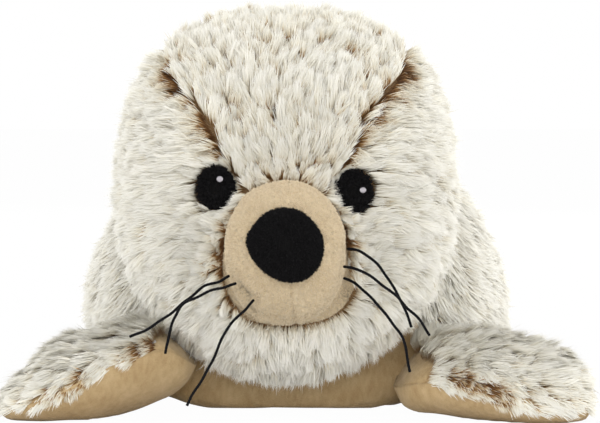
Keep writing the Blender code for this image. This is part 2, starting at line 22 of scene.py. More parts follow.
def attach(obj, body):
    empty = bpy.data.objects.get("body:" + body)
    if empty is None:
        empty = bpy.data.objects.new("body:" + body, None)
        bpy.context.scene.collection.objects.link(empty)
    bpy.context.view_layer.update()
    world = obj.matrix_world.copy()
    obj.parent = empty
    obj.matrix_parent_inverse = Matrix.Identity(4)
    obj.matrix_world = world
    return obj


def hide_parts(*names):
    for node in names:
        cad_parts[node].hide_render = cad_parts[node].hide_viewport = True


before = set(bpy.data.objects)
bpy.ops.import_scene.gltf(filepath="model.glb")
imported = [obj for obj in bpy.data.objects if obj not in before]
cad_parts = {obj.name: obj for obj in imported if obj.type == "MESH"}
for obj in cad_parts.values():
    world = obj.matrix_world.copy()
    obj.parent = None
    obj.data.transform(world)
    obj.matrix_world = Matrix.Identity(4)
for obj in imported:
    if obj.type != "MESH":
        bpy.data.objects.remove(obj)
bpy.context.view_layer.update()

LOG = logging.getLogger("seal")
MM = 0.001
BODY = "root"
WHITE = (1.0, 1.0, 1.0, 1.0)


class Side(Enum):
    """The seal's own sides."""

    LEFT = "left"
    RIGHT = "right"


# Driving sizes, as in the part's source
MUZZLE_TIP_Y = -172.0
MUZZLE_SEAM_Y = -139.0
MUZZLE_Z = 85.0
MUZZLE_HALF_WIDTH = 28.5
MUZZLE_UP = 30.0
MUZZLE_DOWN = 38.0
LOBE_Z = 71.0
LOBE_HALF_WIDTH = 33.5
LOBE_UP = 43.0
LOBE_DOWN = 25.0
HEAD_Y = -80.0
HEAD_Z = 105.0
HEAD_HALF_WIDTH = 83.0
HEAD_UP = 95.0
HEAD_DOWN = 91.0
NECK_Y = -54.0
NECK_Z = 92.0
NECK_HALF_WIDTH = 78.0
NECK_UP = 84.0
NECK_DOWN = 86.0
BODY_Y = 16.0
BODY_Z = 42.0
BODY_HALF_WIDTH = 112.0
BODY_UP = 90.0
BODY_DOWN = 47.0
BODY_SWAY = 5.0
TAIL_Y = 148.0
TAIL_Z = 32.0

# Each row: y, z, lean in degrees, half width, height above z, depth below z,
# squareness above and below, sway to the left
BODY_ROWS = (
    (MUZZLE_TIP_Y, MUZZLE_Z, 0.0, 0.0, 0.0, 0.0, 2.0, 2.0, 0.0),
    (
        MUZZLE_TIP_Y + 1.6, MUZZLE_Z, 0.0, 0.36 * MUZZLE_HALF_WIDTH,
        0.36 * MUZZLE_UP, 0.33 * MUZZLE_DOWN, 2.0, 2.0, 0.0,
    ),
    (
        MUZZLE_TIP_Y + 6.5, MUZZLE_Z, 0.0, 0.68 * MUZZLE_HALF_WIDTH,
        0.68 * MUZZLE_UP, 0.64 * MUZZLE_DOWN, 2.1, 2.1, 0.0,
    ),
    (
        MUZZLE_TIP_Y + 14.5, MUZZLE_Z, 0.0, 0.92 * MUZZLE_HALF_WIDTH,
        0.90 * MUZZLE_UP, 0.87 * MUZZLE_DOWN, 2.1, 2.2, 0.0,
    ),
    (
        MUZZLE_TIP_Y + 23.0, MUZZLE_Z - 1.0, 0.0, MUZZLE_HALF_WIDTH,
        MUZZLE_UP + 1.0, MUZZLE_DOWN - 1.0, 2.1, 2.2, 0.0,
    ),
    (
        MUZZLE_SEAM_Y - 4.0, MUZZLE_Z - 6.0, 0.0, 0.98 * MUZZLE_HALF_WIDTH,
        MUZZLE_UP + 6.0, MUZZLE_DOWN - 6.0, 2.0, 2.2, 0.0,
    ),
    (MUZZLE_SEAM_Y, LOBE_Z, 0.0, LOBE_HALF_WIDTH, LOBE_UP, LOBE_DOWN, 1.9, 2.3, 0.0),
    (
        MUZZLE_SEAM_Y + 1.0, MUZZLE_Z - 4.0, 0.0, 0.51 * HEAD_HALF_WIDTH,
        0.45 * HEAD_UP, 0.47 * HEAD_DOWN, 2.2, 2.2, 0.0,
    ),
    (
        MUZZLE_SEAM_Y + 8.0, MUZZLE_Z + 5.0, 0.0, 0.70 * HEAD_HALF_WIDTH,
        0.61 * HEAD_UP, 0.67 * HEAD_DOWN, 2.3, 2.1, 0.0,
    ),
    (
        HEAD_Y - 37.0, HEAD_Z - 9.0, 4.0, 0.87 * HEAD_HALF_WIDTH,
        0.82 * HEAD_UP, 0.80 * HEAD_DOWN, 2.4, 2.0, 0.0,
    ),
    (
        HEAD_Y - 19.0, HEAD_Z - 3.0, 8.0, 0.96 * HEAD_HALF_WIDTH,
        0.94 * HEAD_UP, 0.94 * HEAD_DOWN, 2.5, 2.0, 0.0,
    ),
    (HEAD_Y, HEAD_Z, 14.0, HEAD_HALF_WIDTH, HEAD_UP, HEAD_DOWN, 2.6, 2.0, 0.0),
    (
        0.5 * (HEAD_Y + NECK_Y), HEAD_Z - 2.0, 21.0, HEAD_HALF_WIDTH,
        HEAD_UP, HEAD_DOWN, 2.5, 2.0, 0.0,
    ),
    (NECK_Y, NECK_Z, 28.0, NECK_HALF_WIDTH, NECK_UP, NECK_DOWN, 2.4, 2.1, 0.2 * BODY_SWAY),
    (
        NECK_Y + 9.0, NECK_Z - 16.0, 30.0, 0.81 * BODY_HALF_WIDTH,
        0.93 * BODY_UP, 1.84 * BODY_DOWN, 2.2, 3.1, 0.5 * BODY_SWAY,
    ),
    (
        BODY_Y - 29.0, BODY_Z + 14.0, 20.0, 0.94 * BODY_HALF_WIDTH,
        0.99 * BODY_UP, 1.35 * BODY_DOWN, 2.0, 2.9, BODY_SWAY,
    ),
    (BODY_Y, BODY_Z, 11.0, BODY_HALF_WIDTH, BODY_UP, BODY_DOWN, 2.0, 2.4, BODY_SWAY),
    (
        BODY_Y + 29.0, BODY_Z - 1.0, 5.0, 0.97 * BODY_HALF_WIDTH,
        0.91 * BODY_UP, 0.98 * BODY_DOWN, 2.0, 2.2, BODY_SWAY,
    ),
    (
        TAIL_Y - 73.0, BODY_Z - 3.0, 1.0, 0.85 * BODY_HALF_WIDTH,
        0.77 * BODY_UP, 0.94 * BODY_DOWN, 2.0, 2.2, BODY_SWAY,
    ),
    (
        TAIL_Y - 45.0, TAIL_Z + 2.0, -3.0, 0.66 * BODY_HALF_WIDTH,
        0.58 * BODY_UP, 0.89 * BODY_DOWN, 2.0, 2.2, BODY_SWAY,
    ),
    (
        TAIL_Y - 22.0, TAIL_Z, -4.0, 0.45 * BODY_HALF_WIDTH,
        0.39 * BODY_UP, 0.76 * BODY_DOWN, 2.0, 2.1, BODY_SWAY,
    ),
    (
        TAIL_Y - 6.0, TAIL_Z, -2.0, 0.24 * BODY_HALF_WIDTH,
        0.21 * BODY_UP, 0.46 * BODY_DOWN, 2.0, 2.0, BODY_SWAY,
    ),
    (TAIL_Y, TAIL_Z, 0.0, 0.0, 0.0, 0.0, 2.0, 2.0, BODY_SWAY),
)
BODY_STEPS = (1, 1, 1, 1, 1, 1, 1, 1, 2, 2, 2, 1, 1, 2, 1, 2, 2, 2, 2, 2, 1, 1)
MUZZLE_SEAM_ROW = 6
NECK_SEAM_ROW = 13
CROWN_CELLS = 3
SIDE_CELLS = 8
KEEL_CELLS = 4
FOREHEAD_ANGLES = (30.0, 34.0, 43.0, 40.0)
BELLY_ANGLE_FRONT = 128.0
BELLY_ANGLE_BACK = 122.0

# Each row: x, front seam y and z, back seam y and z, height over the seams, depth under them
FRONT_FLIPPER_RIGHT_ROWS = (
    (-43.0, -108.0, 24.0, -100.0, 25.0, 0.0, 0.0),
    (-47.0, -127.0, 29.0, -78.0, 28.0, 9.0, 12.0),
    (-58.0, -139.0, 35.0, -58.0, 30.0, 15.0, 25.0),
    (-74.0, -146.0, 31.0, -46.0, 27.0, 18.0, 28.0),
    (-92.0, -149.0, 23.0, -46.0, 21.0, 21.0, 26.0),
    (-109.0, -148.0, 14.0, -56.0, 16.0, 24.0, 18.0),
    (-122.0, -143.0, 9.0, -70.0, 11.0, 18.0, 12.0),
    (-133.0, -134.0, 6.0, -86.0, 7.0, 11.0, 7.0),
    (-139.0, -115.0, 5.0, -108.0, 5.0, 0.0, 0.0),
)
FRONT_FLIPPER_LEFT_ROWS = (
    (52.0, -108.0, 13.0, -98.0, 14.0, 0.0, 0.0),
    (57.0, -128.0, 17.0, -76.0, 20.0, 12.0, 14.0),
    (67.0, -140.0, 19.0, -58.0, 24.0, 19.0, 20.0),
    (83.0, -147.0, 17.0, -46.0, 22.0, 23.0, 20.0),
    (100.0, -150.0, 13.0, -46.0, 18.0, 27.0, 18.0),
    (118.0, -150.0, 8.0, -54.0, 14.0, 27.0, 14.0),
    (133.0, -145.0, 7.0, -66.0, 11.0, 24.0, 12.0),
    (143.0, -134.0, 7.0, -84.0, 9.0, 17.0, 9.0),
    (148.0, -114.0, 9.0, -106.0, 9.0, 0.0, 0.0),
)
# Each row: y, inner seam x and z, outer seam x and z, height over the seams, depth under them
REAR_FLIPPER_ROWS = (
    (126.0, 14.0, 16.0, 22.0, 17.0, 0.0, 0.0),
    (130.0, 8.0, 16.0, 34.0, 18.0, 10.0, 12.0),
    (140.0, 5.0, 14.0, 44.0, 17.0, 13.0, 14.0),
    (152.0, 7.0, 11.0, 54.0, 14.0, 12.0, 12.0),
    (164.0, 15.0, 8.0, 62.0, 10.0, 10.0, 10.0),
    (174.0, 28.0, 6.0, 66.0, 7.0, 7.0, 7.0),
    (180.0, 46.0, 5.0, 54.0, 5.0, 0.0, 0.0),
)
FLIPPER_STEPS = (1, 1, 2, 2, 2, 2, 1, 1)
REAR_FLIPPER_STEPS = (1, 1, 2, 2, 1, 1)

# Whiskers: points across, toward the back and up
WHISKERS = {
    "right_upper": (
        (-23.5, -155, 72), (-30.5, -159, 69), (-37.5, -160, 66.5), (-44, -158, 61),
        (-51, -155, 55.5), (-59.5, -150, 49), (-66.5, -146, 44), (-73, -142, 41.5),
    ),
    "right_middle": (
        (-20, -158, 69), (-28.5, -163, 66.5), (-34, -165, 65), (-40, -164, 62),
        (-47.5, -161, 58), (-51.5, -157, 52), (-54, -155, 44), (-55.5, -154, 34.5),
    ),
    "right_lower": (
        (-14, -162, 61), (-21, -168, 54), (-26, -170, 48.5), (-31, -169, 38.5),
        (-37.5, -166, 25.5), (-45.5, -162, 11.5),
    ),
    "left_upper": (
        (28.5, -152, 83.5), (34, -156, 83), (39, -157, 79.5), (43.5, -157, 75.5),
        (48, -155, 69.5), (52, -153, 62.5), (55.5, -151, 55), (59, -149, 46.5),
    ),
    "left_middle": (
        (26, -155, 75.5), (32, -160, 75), (38, -161, 72), (45, -160, 67),
        (51.5, -158, 62), (57, -154, 55.5), (63, -151, 49.5), (67.5, -149, 42.5),
    ),
    "left_lower": (
        (28.5, -152, 69.5), (32, -156, 68), (36.5, -160, 64), (41, -161, 60), (46, -161, 54.5),
        (49.5, -160, 49.5), (53.5, -158, 44), (55.5, -156, 38.5), (57, -154, 32.5), (58, -153, 26),
    ),
}

# Eye centres and the place of each highlight on its eye, across and up
EYES = {
    Side.LEFT: ((32.2, 109.5), (4.2, 0.6)),
    Side.RIGHT: ((-33.1, 111.3), (2.2, 4.0)),
}

# Spots where the fur lies open and shows brown: place across and up, radius, strength
BROWN_SPOTS = (
    (-19.0, 113.0, 6.0, 0.9),
    (11.5, 118.0, 8.0, 0.9),
    (31.0, 88.0, 5.0, 0.7),
    (41.0, 76.0, 5.0, 0.8),
    (-33.0, 80.0, 6.0, 0.5),
    (-31.0, 68.0, 6.0, 0.4),
    (9.0, 44.0, 7.0, 0.45),
    (7.0, 30.0, 6.0, 0.3),
)
# Lines along which the fur parts and shows brown: places across and up, seen from the front
SHOULDER_PART_LINE = ((101.0, 39.5), (97.0, 44.5), (91.5, 42.5), (88.5, 38.0))
RIGHT_PART_LINES = (
    ((-56.0, 41.0), (-62.0, 40.0), (-70.0, 38.0)),
    ((-96.0, 39.0), (-102.0, 37.0)),
    ((-88.0, 31.0), (-92.0, 30.0)),
    ((-94.0, 24.0), (-101.0, 21.0), (-106.0, 19.5)),
)
LEFT_PART_LINES = (
    ((92.0, 47.0), (86.0, 44.0), (80.0, 40.0), (75.0, 36.0), (71.0, 30.0), (73.0, 25.0), (80.0, 24.0)),
    ((80.0, 24.0), (88.0, 21.0), (94.0, 17.5), (101.0, 15.0)),
    ((95.0, 30.5), (104.0, 32.0)),
    ((96.0, 26.0), (103.0, 23.0), (114.0, 21.0)),
)
# Lowest and highest place of the fur that lies over each side of the muzzle
COLLARS = {Side.LEFT: (76.0, 99.0), Side.RIGHT: (54.0, 96.0)}
# Folds of the muzzle's cloth: place across and up, reach, depth; the deep ones also get painted shade on
# the pile
MUZZLE_FOLDS = (
    (-23.0, 74.0, 4.0, 0.8),
    (-20.5, 62.5, 4.6, 3.4),
    (-16.0, 54.0, 4.0, 1.6),
    (30.5, 69.0, 4.5, 2.2),
    (30.5, 60.5, 4.5, 2.0),
)
# Dent at each whisker's root: reach, depth
WHISKER_DENT = (2.2, 0.9)
# Seam down the muzzle: place across at a height, lean, half width, depth and where it fades upward
MIDDLE_SEAM_X = 3.4
MIDDLE_SEAM_Z = 60.0
MIDDLE_SEAM_LEAN = 0.1
MIDDLE_SEAM_WIDTH = 1.1
MIDDLE_SEAM_DEPTH = 0.9
MIDDLE_SEAM_FADE = (66.0, 71.0)

# Depth of the backing below the ends of the long pile, in the open and at the head's seams
FUR_DEPTH = 7.4
SEAM_DEPTH = 3.0

# Points of the head and body's surface between two rows and two columns of the part
ROW_FINE = 5
COLUMN_FINE = 8
MUZZLE_ROW_FINE = 12

# Thickness of each cloth, in metres, and how full a padded panel is
FUR_CLOTH = 0.0007
SOLE_CLOTH = 0.0014
PLUSH_CLOTH = 0.0024

# A strand's place across its UV map tells how much brown it shows, which on the short pile is painted
# shade, and how light it is
TONE_BROWNS = 10
TONE_SHADES = 5
BROWN_REACH = 0.6
STRAND_UV = "OFBake"
STRAND_UV_WIDTH = 0.6
STRAND_UV_MARGIN = 0.02

# Least height of strands and of the belly's cloth over the floor, in metres
STRAND_FLOOR = 0.0004
CLOTH_FLOOR = 0.0003


class Chance(IntEnum):
    """Seeds of the strands' places and lie."""

    HEAD_ROOTS = 11
    HEAD_FUR = 21
    BACK_ROOTS = 31
    BACK_FUR = 32
    FLIPPER_ROOTS = 42
    FLIPPER_FUR = 43
    MUZZLE_ROOTS = 51
    MUZZLE_PILE = 52
    PAD_ROOTS = 61
    PAD_PILE = 62
    COLLAR_ROOTS = 71
    COLLAR_FUR = 72


class Field(IntEnum):
    """Seeds of the smooth random fields."""

    BACKING_DEPTH = 3
    HEAD_BROWN = 5
    BACK_BROWN = 6
    FLIPPER_BROWN = 7
    MUZZLE_DEPTH = 8
    BELLY_DEPTH = 9
    COLLAR_LENGTH = 12
    COLLAR_BROWN = 13
    COLLAR_LIFT = 14
    FLIPPER_EDGE = 15
    PARTING_BROWN = 21


def srgb(red: float, green: float, blue: float) -> tuple[float, float, float, float]:
    """Turn a colour as a screen shows it, 0 to 255, into a linear colour.

    Args:
        red: Red part.
        green: Green part.
        blue: Blue part.

    Returns:
        The linear colour, opaque.
    """
    parts = []
    for value in (red, green, blue):
        share = value / 255.0
        parts.append(share / 12.92 if share <= 0.04045 else ((share + 0.055) / 1.055) ** 2.4)
    return (parts[0], parts[1], parts[2], 1.0)


def unit(vectors: np.ndarray) -> np.ndarray:
    """Scale vectors to length one.

    Args:
        vectors: Array whose last axis holds the vectors.

    Returns:
        The unit vectors.
    """
    return vectors / np.maximum(np.linalg.norm(vectors, axis=-1, keepdims=True), 1e-12)


def dot(first: np.ndarray, second: np.ndarray) -> np.ndarray:
    """Dot product along the last axis, with that axis kept."""
    return np.sum(first * second, axis=-1, keepdims=True)


def smooth(value: np.ndarray, low: float, high: float) -> np.ndarray:
    """Rise smoothly from 0 at low to 1 at high.

    Args:
        value: Where to read the rise.
        low: Value at which it starts.
        high: Value at which it ends.

    Returns:
        The share at each value.
    """
    share = np.clip((value - low) / (high - low), 0.0, 1.0)
    return share * share * (3.0 - 2.0 * share)


def waves(places: np.ndarray, size: float, seed: int) -> np.ndarray:
    """A smooth random field in space, about -1 to 1.

    Args:
        places: Points, in metres.
        size: Length of its waves, in metres.
        seed: Which field.

    Returns:
        One value for each point.
    """
    rng = np.random.default_rng(seed)
    total = np.zeros(places.shape[:-1])
    for _ in range(5):
        turn = unit(rng.normal(size=3)) * 2.0 * math.pi / size * rng.uniform(0.7, 1.4)
        total += np.sin(places @ turn + rng.uniform(0.0, 2.0 * math.pi))
    return total / 2.4


class Number:
    """A number in a material, on which Python's operators add Math nodes."""

    def __init__(self, nodes: Nodes, socket: bpy.types.NodeSocket) -> None:
        """Hold a socket of a node tree."""
        self.nodes = nodes
        self.socket = socket

    def math(self, operation: str, *others: Number | float) -> Number:
        """Add one Math node.

        Args:
            operation: The node's operation.
            others: Its inputs after this number.

        Returns:
            What the node gives.
        """
        return self.nodes.math(operation, self, *others)

    def __add__(self, other: Number | float) -> Number:
        """Add."""
        return self.math("ADD", other)

    __radd__ = __add__

    def __mul__(self, other: Number | float) -> Number:
        """Multiply."""
        return self.math("MULTIPLY", other)

    __rmul__ = __mul__

    def __sub__(self, other: Number | float) -> Number:
        """Subtract."""
        return self.math("SUBTRACT", other)

    def __rsub__(self, other: float) -> Number:
        """Subtract from a plain number."""
        return self.nodes.math("SUBTRACT", other, self)

    def __truediv__(self, other: Number | float) -> Number:
        """Divide."""
        return self.math("DIVIDE", other)


class Nodes:
    """A node tree, to which nodes are added."""

    def __init__(self, tree: bpy.types.NodeTree) -> None:
        """Hold the tree."""
        self.tree = tree

    def node(self, kind: str, settings: dict | None = None, inputs: dict | None = None) -> bpy.types.Node:
        """Add one node.

        Args:
            kind: The node's type, without its ShaderNode prefix.
            settings: Its properties, set before its inputs.
            inputs: Values or sockets of its inputs, by name or number.

        Returns:
            The node.
        """
        made = self.tree.nodes.new("ShaderNode" + kind)
        for key, value in (settings or {}).items():
            if key == "stops":
                self.set_stops(made, value)
            else:
                setattr(made, key, value)
        for key, value in (inputs or {}).items():
            self.feed(made.inputs[key], value)
        return made

    @staticmethod
    def set_stops(ramp: bpy.types.Node, stops: tuple) -> None:
        """Give a ramp its stops.

        Args:
            ramp: The Color Ramp node.
            stops: Pairs of place and colour.
        """
        elements = ramp.color_ramp.elements
        while len(elements) < len(stops):
            elements.new(1.0)
        for element, (place, colour) in zip(elements, stops):
            element.position = place
            element.color = colour

    def feed(self, socket: bpy.types.NodeSocket, value: object) -> None:
        """Set or link one input.

        Args:
            socket: The input.
            value: A plain value, a Number or an output socket.
        """
        if isinstance(value, Number):
            value = value.socket
        if isinstance(value, bpy.types.NodeSocket):
            self.tree.links.new(value, socket)
        else:
            socket.default_value = value

    def math(self, operation: str, *values: Number | float) -> Number:
        """Add one Math node from its operation and inputs."""
        made = self.node("Math", {"operation": operation}, dict(enumerate(values)))
        return Number(self, made.outputs[0])


class Shader(Nodes):
    """One material and the nodes that make it up."""

    def __init__(self, name: str) -> None:
        """Start a material with its main shader."""
        self.material = bpy.data.materials.new(name)
        self.material.use_nodes = True
        super().__init__(self.material.node_tree)
        self.main = self.tree.nodes["Principled BSDF"]

    def set(self, **values: object) -> None:
        """Set inputs of the main shader, with _ for each space in a name."""
        for key, value in values.items():
            self.feed(self.main.inputs[key.replace("_", " ")], value)

    def strand(self) -> tuple[Number, Number, Number]:
        """Read a strand's UV map.

        Returns:
            Its share of brown (painted shade on the short pile), its lightness and the place along it, all
            0 to 1.
        """
        uv = self.node("UVMap", {"uv_map": STRAND_UV}).outputs[0]
        split = self.node("SeparateXYZ", None, {0: uv})
        tone = Number(self, split.outputs[0]) * float(TONE_BROWNS)
        brown = tone.math("FLOOR") / (TONE_BROWNS - 1.0)
        return brown, tone.math("FRACT"), Number(self, split.outputs[1])

    def place(self) -> bpy.types.NodeSocket:
        """Object coordinates."""
        return self.node("TexCoord").outputs["Object"]

    def noise(self, scale: float, detail: float = 2.0, stretch: tuple | None = None) -> Number:
        """A noise over the surface, 0 to 1.

        Args:
            scale: Waves per metre.
            detail: Its layers.
            stretch: Scale along each axis, where it isn't even.

        Returns:
            The noise.
        """
        where = self.place()
        if stretch:
            where = self.node("Mapping", None, {"Vector": where, "Scale": stretch}).outputs[0]
        inputs = {"Vector": where, "Scale": scale, "Detail": detail}
        return Number(self, self.node("TexNoise", None, inputs).outputs[0])

    def ramp(self, factor: Number, stops: tuple) -> bpy.types.NodeSocket:
        """Turn a number into a colour."""
        return self.node("ValToRGB", {"stops": stops}, {0: factor}).outputs[0]

    def mixed(self, factor: Number | float, first: object, second: object) -> bpy.types.NodeSocket:
        """Mix two colours.

        Args:
            factor: Share of the second.
            first: Colour or socket.
            second: Colour or socket.

        Returns:
            The mixed colour.
        """
        made = self.node("Mix", {"data_type": "RGBA"}, {0: factor, 6: first, 7: second})
        return made.outputs[2]

    def limited(self, value: Number) -> Number:
        """Hold a number between 0 and 1."""
        return value.math("MINIMUM", 1.0).math("MAXIMUM", 0.0)

    def toned(self, colour: bpy.types.NodeSocket, value: Number) -> bpy.types.NodeSocket:
        """Make a colour lighter or darker by a factor."""
        return self.node("HueSaturation", None, {"Value": value, "Color": colour}).outputs[0]

    def bump(self, height: Number, distance: float) -> None:
        """Raise the surface.

        Args:
            height: Height, 0 to 1.
            distance: Its full height, in metres.
        """
        inputs = {"Height": height, "Distance": distance, "Strength": 1.0}
        self.set(Normal=self.node("Bump", None, inputs).outputs[0])


class Slot(Enum):
    """The record's material slots."""

    FUR = "tipped_fur"
    TAN = "tan_plush"
    BLACK = "black_plush"
    THREAD = "black_thread"
    WHITE = "white_thread"
    FILLING = "fibre_filling"


@dataclass(frozen=True)
class FurFinish:
    """Long pile, brown at its roots and cream at its tips, coloured along each strand."""

    name: str = "fur_strands"
    root: tuple = srgb(104, 68, 32)
    lower: tuple = srgb(158, 120, 74)
    middle: tuple = srgb(222, 210, 184)
    upper: tuple = srgb(244, 240, 226)
    tip: tuple = srgb(252, 250, 242)
    stops: tuple = (0.0, 0.14, 0.28, 0.5, 0.85)
    darkest: float = 0.91
    shade_range: float = 0.12

    def material(self) -> bpy.types.Material:
        """Build the material.

        Returns:
            The material, which reads only the strands' own UV map.
        """
        shader = Shader(self.name)
        brown, shade, along = shader.strand()
        place = (along - brown * BROWN_REACH).math("MAXIMUM", 0.0)
        colours = (self.root, self.lower, self.middle, self.upper, self.tip)
        colour = shader.ramp(place, tuple(zip(self.stops, colours)))
        colour = shader.toned(colour, shade * self.shade_range + self.darkest)
        shader.set(Base_Color=colour, Roughness=0.72)
        shader.set(Specular_IOR_Level=0.25, Sheen_Weight=0.12, Sheen_Roughness=0.5)
        return shader.material


@dataclass(frozen=True)
class ShortPileFinish:
    """Strands of short pile, shaded from dark roots to light tips, with painted shade darkening them in
    folds.
    """

    name: str
    root: tuple
    tip: tuple
    roughness: float = 0.9
    specular: float = 0.1
    # How strongly the painted shade in folds darkens the pile
    depth: float = 0.5

    def material(self) -> bpy.types.Material:
        """Build the material.

        Returns:
            The material, which reads only the strands' own UV map.
        """
        shader = Shader(self.name)
        deep, shade, along = shader.strand()
        colour = shader.mixed(along * 0.6 + shade * 0.4, self.root, self.tip)
        # Painted shade: strands whose UV map carries a share of brown, in folds and low on the muzzle, are
        # darkened.
        colour = shader.toned(colour, 1.0 - deep * self.depth)
        shader.set(Base_Color=colour, Roughness=self.roughness, Specular_IOR_Level=self.specular)
        return shader.material


@dataclass(frozen=True)
class BackingFinish:
    """The knitted ground that the fur stands on."""

    name: str = "fur_ground"
    light: tuple = srgb(160, 130, 92)
    dark: tuple = srgb(108, 78, 46)

    def material(self) -> bpy.types.Material:
        """Build the material."""
        shader = Shader(self.name)
        blotch = shader.noise(260.0, 3.0)
        shader.set(Base_Color=shader.mixed(blotch, self.dark, self.light), Roughness=0.95)
        shader.bump(shader.noise(900.0), 0.0006)
        return shader.material


@dataclass(frozen=True)
class PlushFinish:
    """Short tan pile, brushed in soft patches."""

    name: str
    light: tuple
    dark: tuple
    patch_scale: float = 75.0
    nap_scale: float = 420.0
    nap_stretch: tuple = (1.0, 0.7, 0.35)
    grain_scale: float = 1500.0

    def material(self) -> bpy.types.Material:
        """Build the material."""
        shader = Shader(self.name)
        patch = shader.noise(self.patch_scale, 3.0)
        nap = shader.noise(self.nap_scale, 3.0, self.nap_stretch)
        grain = shader.noise(self.grain_scale)
        share = shader.limited(patch * 1.3 + nap * 1.1 + grain * 0.6 - 1.0)
        shader.set(Base_Color=shader.mixed(share, self.dark, self.light), Roughness=0.92)
        shader.set(Specular_IOR_Level=0.15, Sheen_Weight=0.25, Sheen_Roughness=0.45)
        shader.set(Sheen_Tint=srgb(246, 236, 216))
        shader.bump(nap * 0.55 + grain * 0.45, 0.0009)
        return shader.material


@dataclass(frozen=True)
class BlackPileFinish:
    """Dense black pile with the rows of its knit showing through."""

    name: str = "black_pile"
    light: tuple = srgb(27, 26, 26)
    dark: tuple = srgb(6, 6, 7)

    def material(self) -> bpy.types.Material:
        """Build the material."""
        shader = Shader(self.name)
        rows = shader.noise(1000.0, 2.0, (1.0, 1.0, 0.3))
        fine = shader.noise(2000.0)
        share = shader.limited(rows * 0.9 + fine * 0.9 - 0.4)
        shader.set(Base_Color=shader.mixed(share, self.dark, self.light), Roughness=0.95)
        shader.set(Specular_IOR_Level=0.05)
        shader.bump(share, 0.0012)
        return shader.material


@dataclass(frozen=True)
class ThreadFinish:
    """Twisted thread."""

    name: str
    light: tuple
    dark: tuple
    roughness: float = 0.8

    def material(self) -> bpy.types.Material:
        """Build the material."""
        shader = Shader(self.name)
        fibre = shader.noise(3200.0, 2.0, (1.0, 1.0, 0.4))
        shader.set(Base_Color=shader.mixed(fibre, self.dark, self.light), Roughness=self.roughness)
        shader.set(Specular_IOR_Level=0.12)
        shader.bump(fibre, 0.0003)
        return shader.material


@dataclass(frozen=True)
class FibreFinish:
    """White fibre filling."""

    name: str = "fibre_filling"
    light: tuple = srgb(244, 243, 240)
    dark: tuple = srgb(214, 213, 210)

    def material(self) -> bpy.types.Material:
        """Build the material."""
        shader = Shader(self.name)
        tangle = shader.noise(320.0, 6.0)
        shader.set(Base_Color=shader.mixed(tangle, self.dark, self.light), Roughness=0.95)
        shader.bump(tangle, 0.002)
        return shader.material


def slopes_of(values: np.ndarray) -> np.ndarray:
    """Slopes through evenly spaced values that never overshoot them.

    Args:
        values: One column of a table.

    Returns:
        The slope at each value.
    """
    steps = np.diff(values)
    slopes = np.zeros(len(values))
    slopes[0] = steps[0]
    slopes[-1] = steps[-1]
    for i in range(1, len(values) - 1):
        if steps[i - 1] * steps[i] > 0:
            slopes[i] = 2 * steps[i - 1] * steps[i] / (steps[i - 1] + steps[i])
    return slopes


def between(share: float, start: tuple, end: tuple) -> np.ndarray:
    """A smooth step from one point to another.

    Args:
        share: Share of the way.
        start: The first point and the slope there.
        end: The last point and the slope there.

    Returns:
        The point at that share.
    """
    square = share**2
    cube = share**3
    leaving = (2 * cube - 3 * square + 1) * start[0] + (cube - 2 * square + share) * start[1]
    reaching = (3 * square - 2 * cube) * end[0] + (cube - square) * end[1]
    return leaving + reaching


def filled_rows(rows: tuple, steps: list[int]) -> np.ndarray:
    """Table rows with smooth rows cut in between them.

    Args:
        rows: The table.
        steps: How many rows each step of the table becomes.

    Returns:
        All rows.
    """
    table = np.array(rows, float)
    slopes = np.array([slopes_of(column) for column in table.T]).T
    filled = [table[0]]
    for i, count in enumerate(steps):
        ends = (table[i], slopes[i]), (table[i + 1], slopes[i + 1])
        filled.extend(between(k / count, *ends) for k in range(1, count + 1))
    return np.array(filled)


def grid_mesh(points: np.ndarray) -> bmesh.types.BMesh:
    """Make a sheet of faces through a grid of points.

    Args:
        points: The grid, in metres.

    Returns:
        The sheet.
    """
    rows, columns = points.shape[:2]
    bm = bmesh.new()
    bmesh.ops.create_grid(bm, x_segments=columns - 1, y_segments=rows - 1, size=1.0)
    for vert, point in zip(bm.verts, points.reshape(-1, 3)):
        vert.co = point
    return bm


@dataclass
class Surface:
    """A closed outer face as a dense grid of points in metres, whose columns run round it.

    Rows run from the front or root to the tail or tip.
    """

    points: np.ndarray
    normals: np.ndarray = field(init=False)
    along: np.ndarray = field(init=False)
    across: np.ndarray = field(init=False)

    def __post_init__(self) -> None:
        """Work out the directions at each point."""
        rows = np.gradient(self.points, axis=0)
        columns = np.roll(self.points, -1, axis=1) - np.roll(self.points, 1, axis=1)
        columns[0] = columns[1]
        columns[-1] = columns[-2]
        normals = unit(np.cross(rows, columns))
        outward = self.points - self.points.mean(axis=1, keepdims=True)
        if np.sum(outward * normals) < 0:
            normals = -normals
        normals[0] = unit(self.points[0, 0] - self.points[1].mean(axis=0))
        normals[-1] = unit(self.points[-1, 0] - self.points[-2].mean(axis=0))
        self.normals = normals
        self.along = unit(rows)
        self.across = unit(columns)

    def tree(self) -> BVHTree:
        """A search tree over the surface."""
        bm = grid_mesh(np.concatenate([self.points, self.points[:, :1]], axis=1))
        bmesh.ops.remove_doubles(bm, verts=bm.verts[:], dist=1e-7)
        bmesh.ops.recalc_face_normals(bm, faces=bm.faces[:])
        found = BVHTree.FromBMesh(bm)
        bm.free()
        return found


class Strands:
    """Arrays that hold one row for each strand."""

    def only(self, mask: np.ndarray) -> Strands:
        """The strands that a mask keeps."""
        return type(self)(*(getattr(self, item.name)[mask] for item in fields(self)))


@dataclass
class Roots(Strands):
    """Where strands stand."""

    places: np.ndarray
    normals: np.ndarray
    along: np.ndarray
    across: np.ndarray
    heights: np.ndarray
    columns: np.ndarray


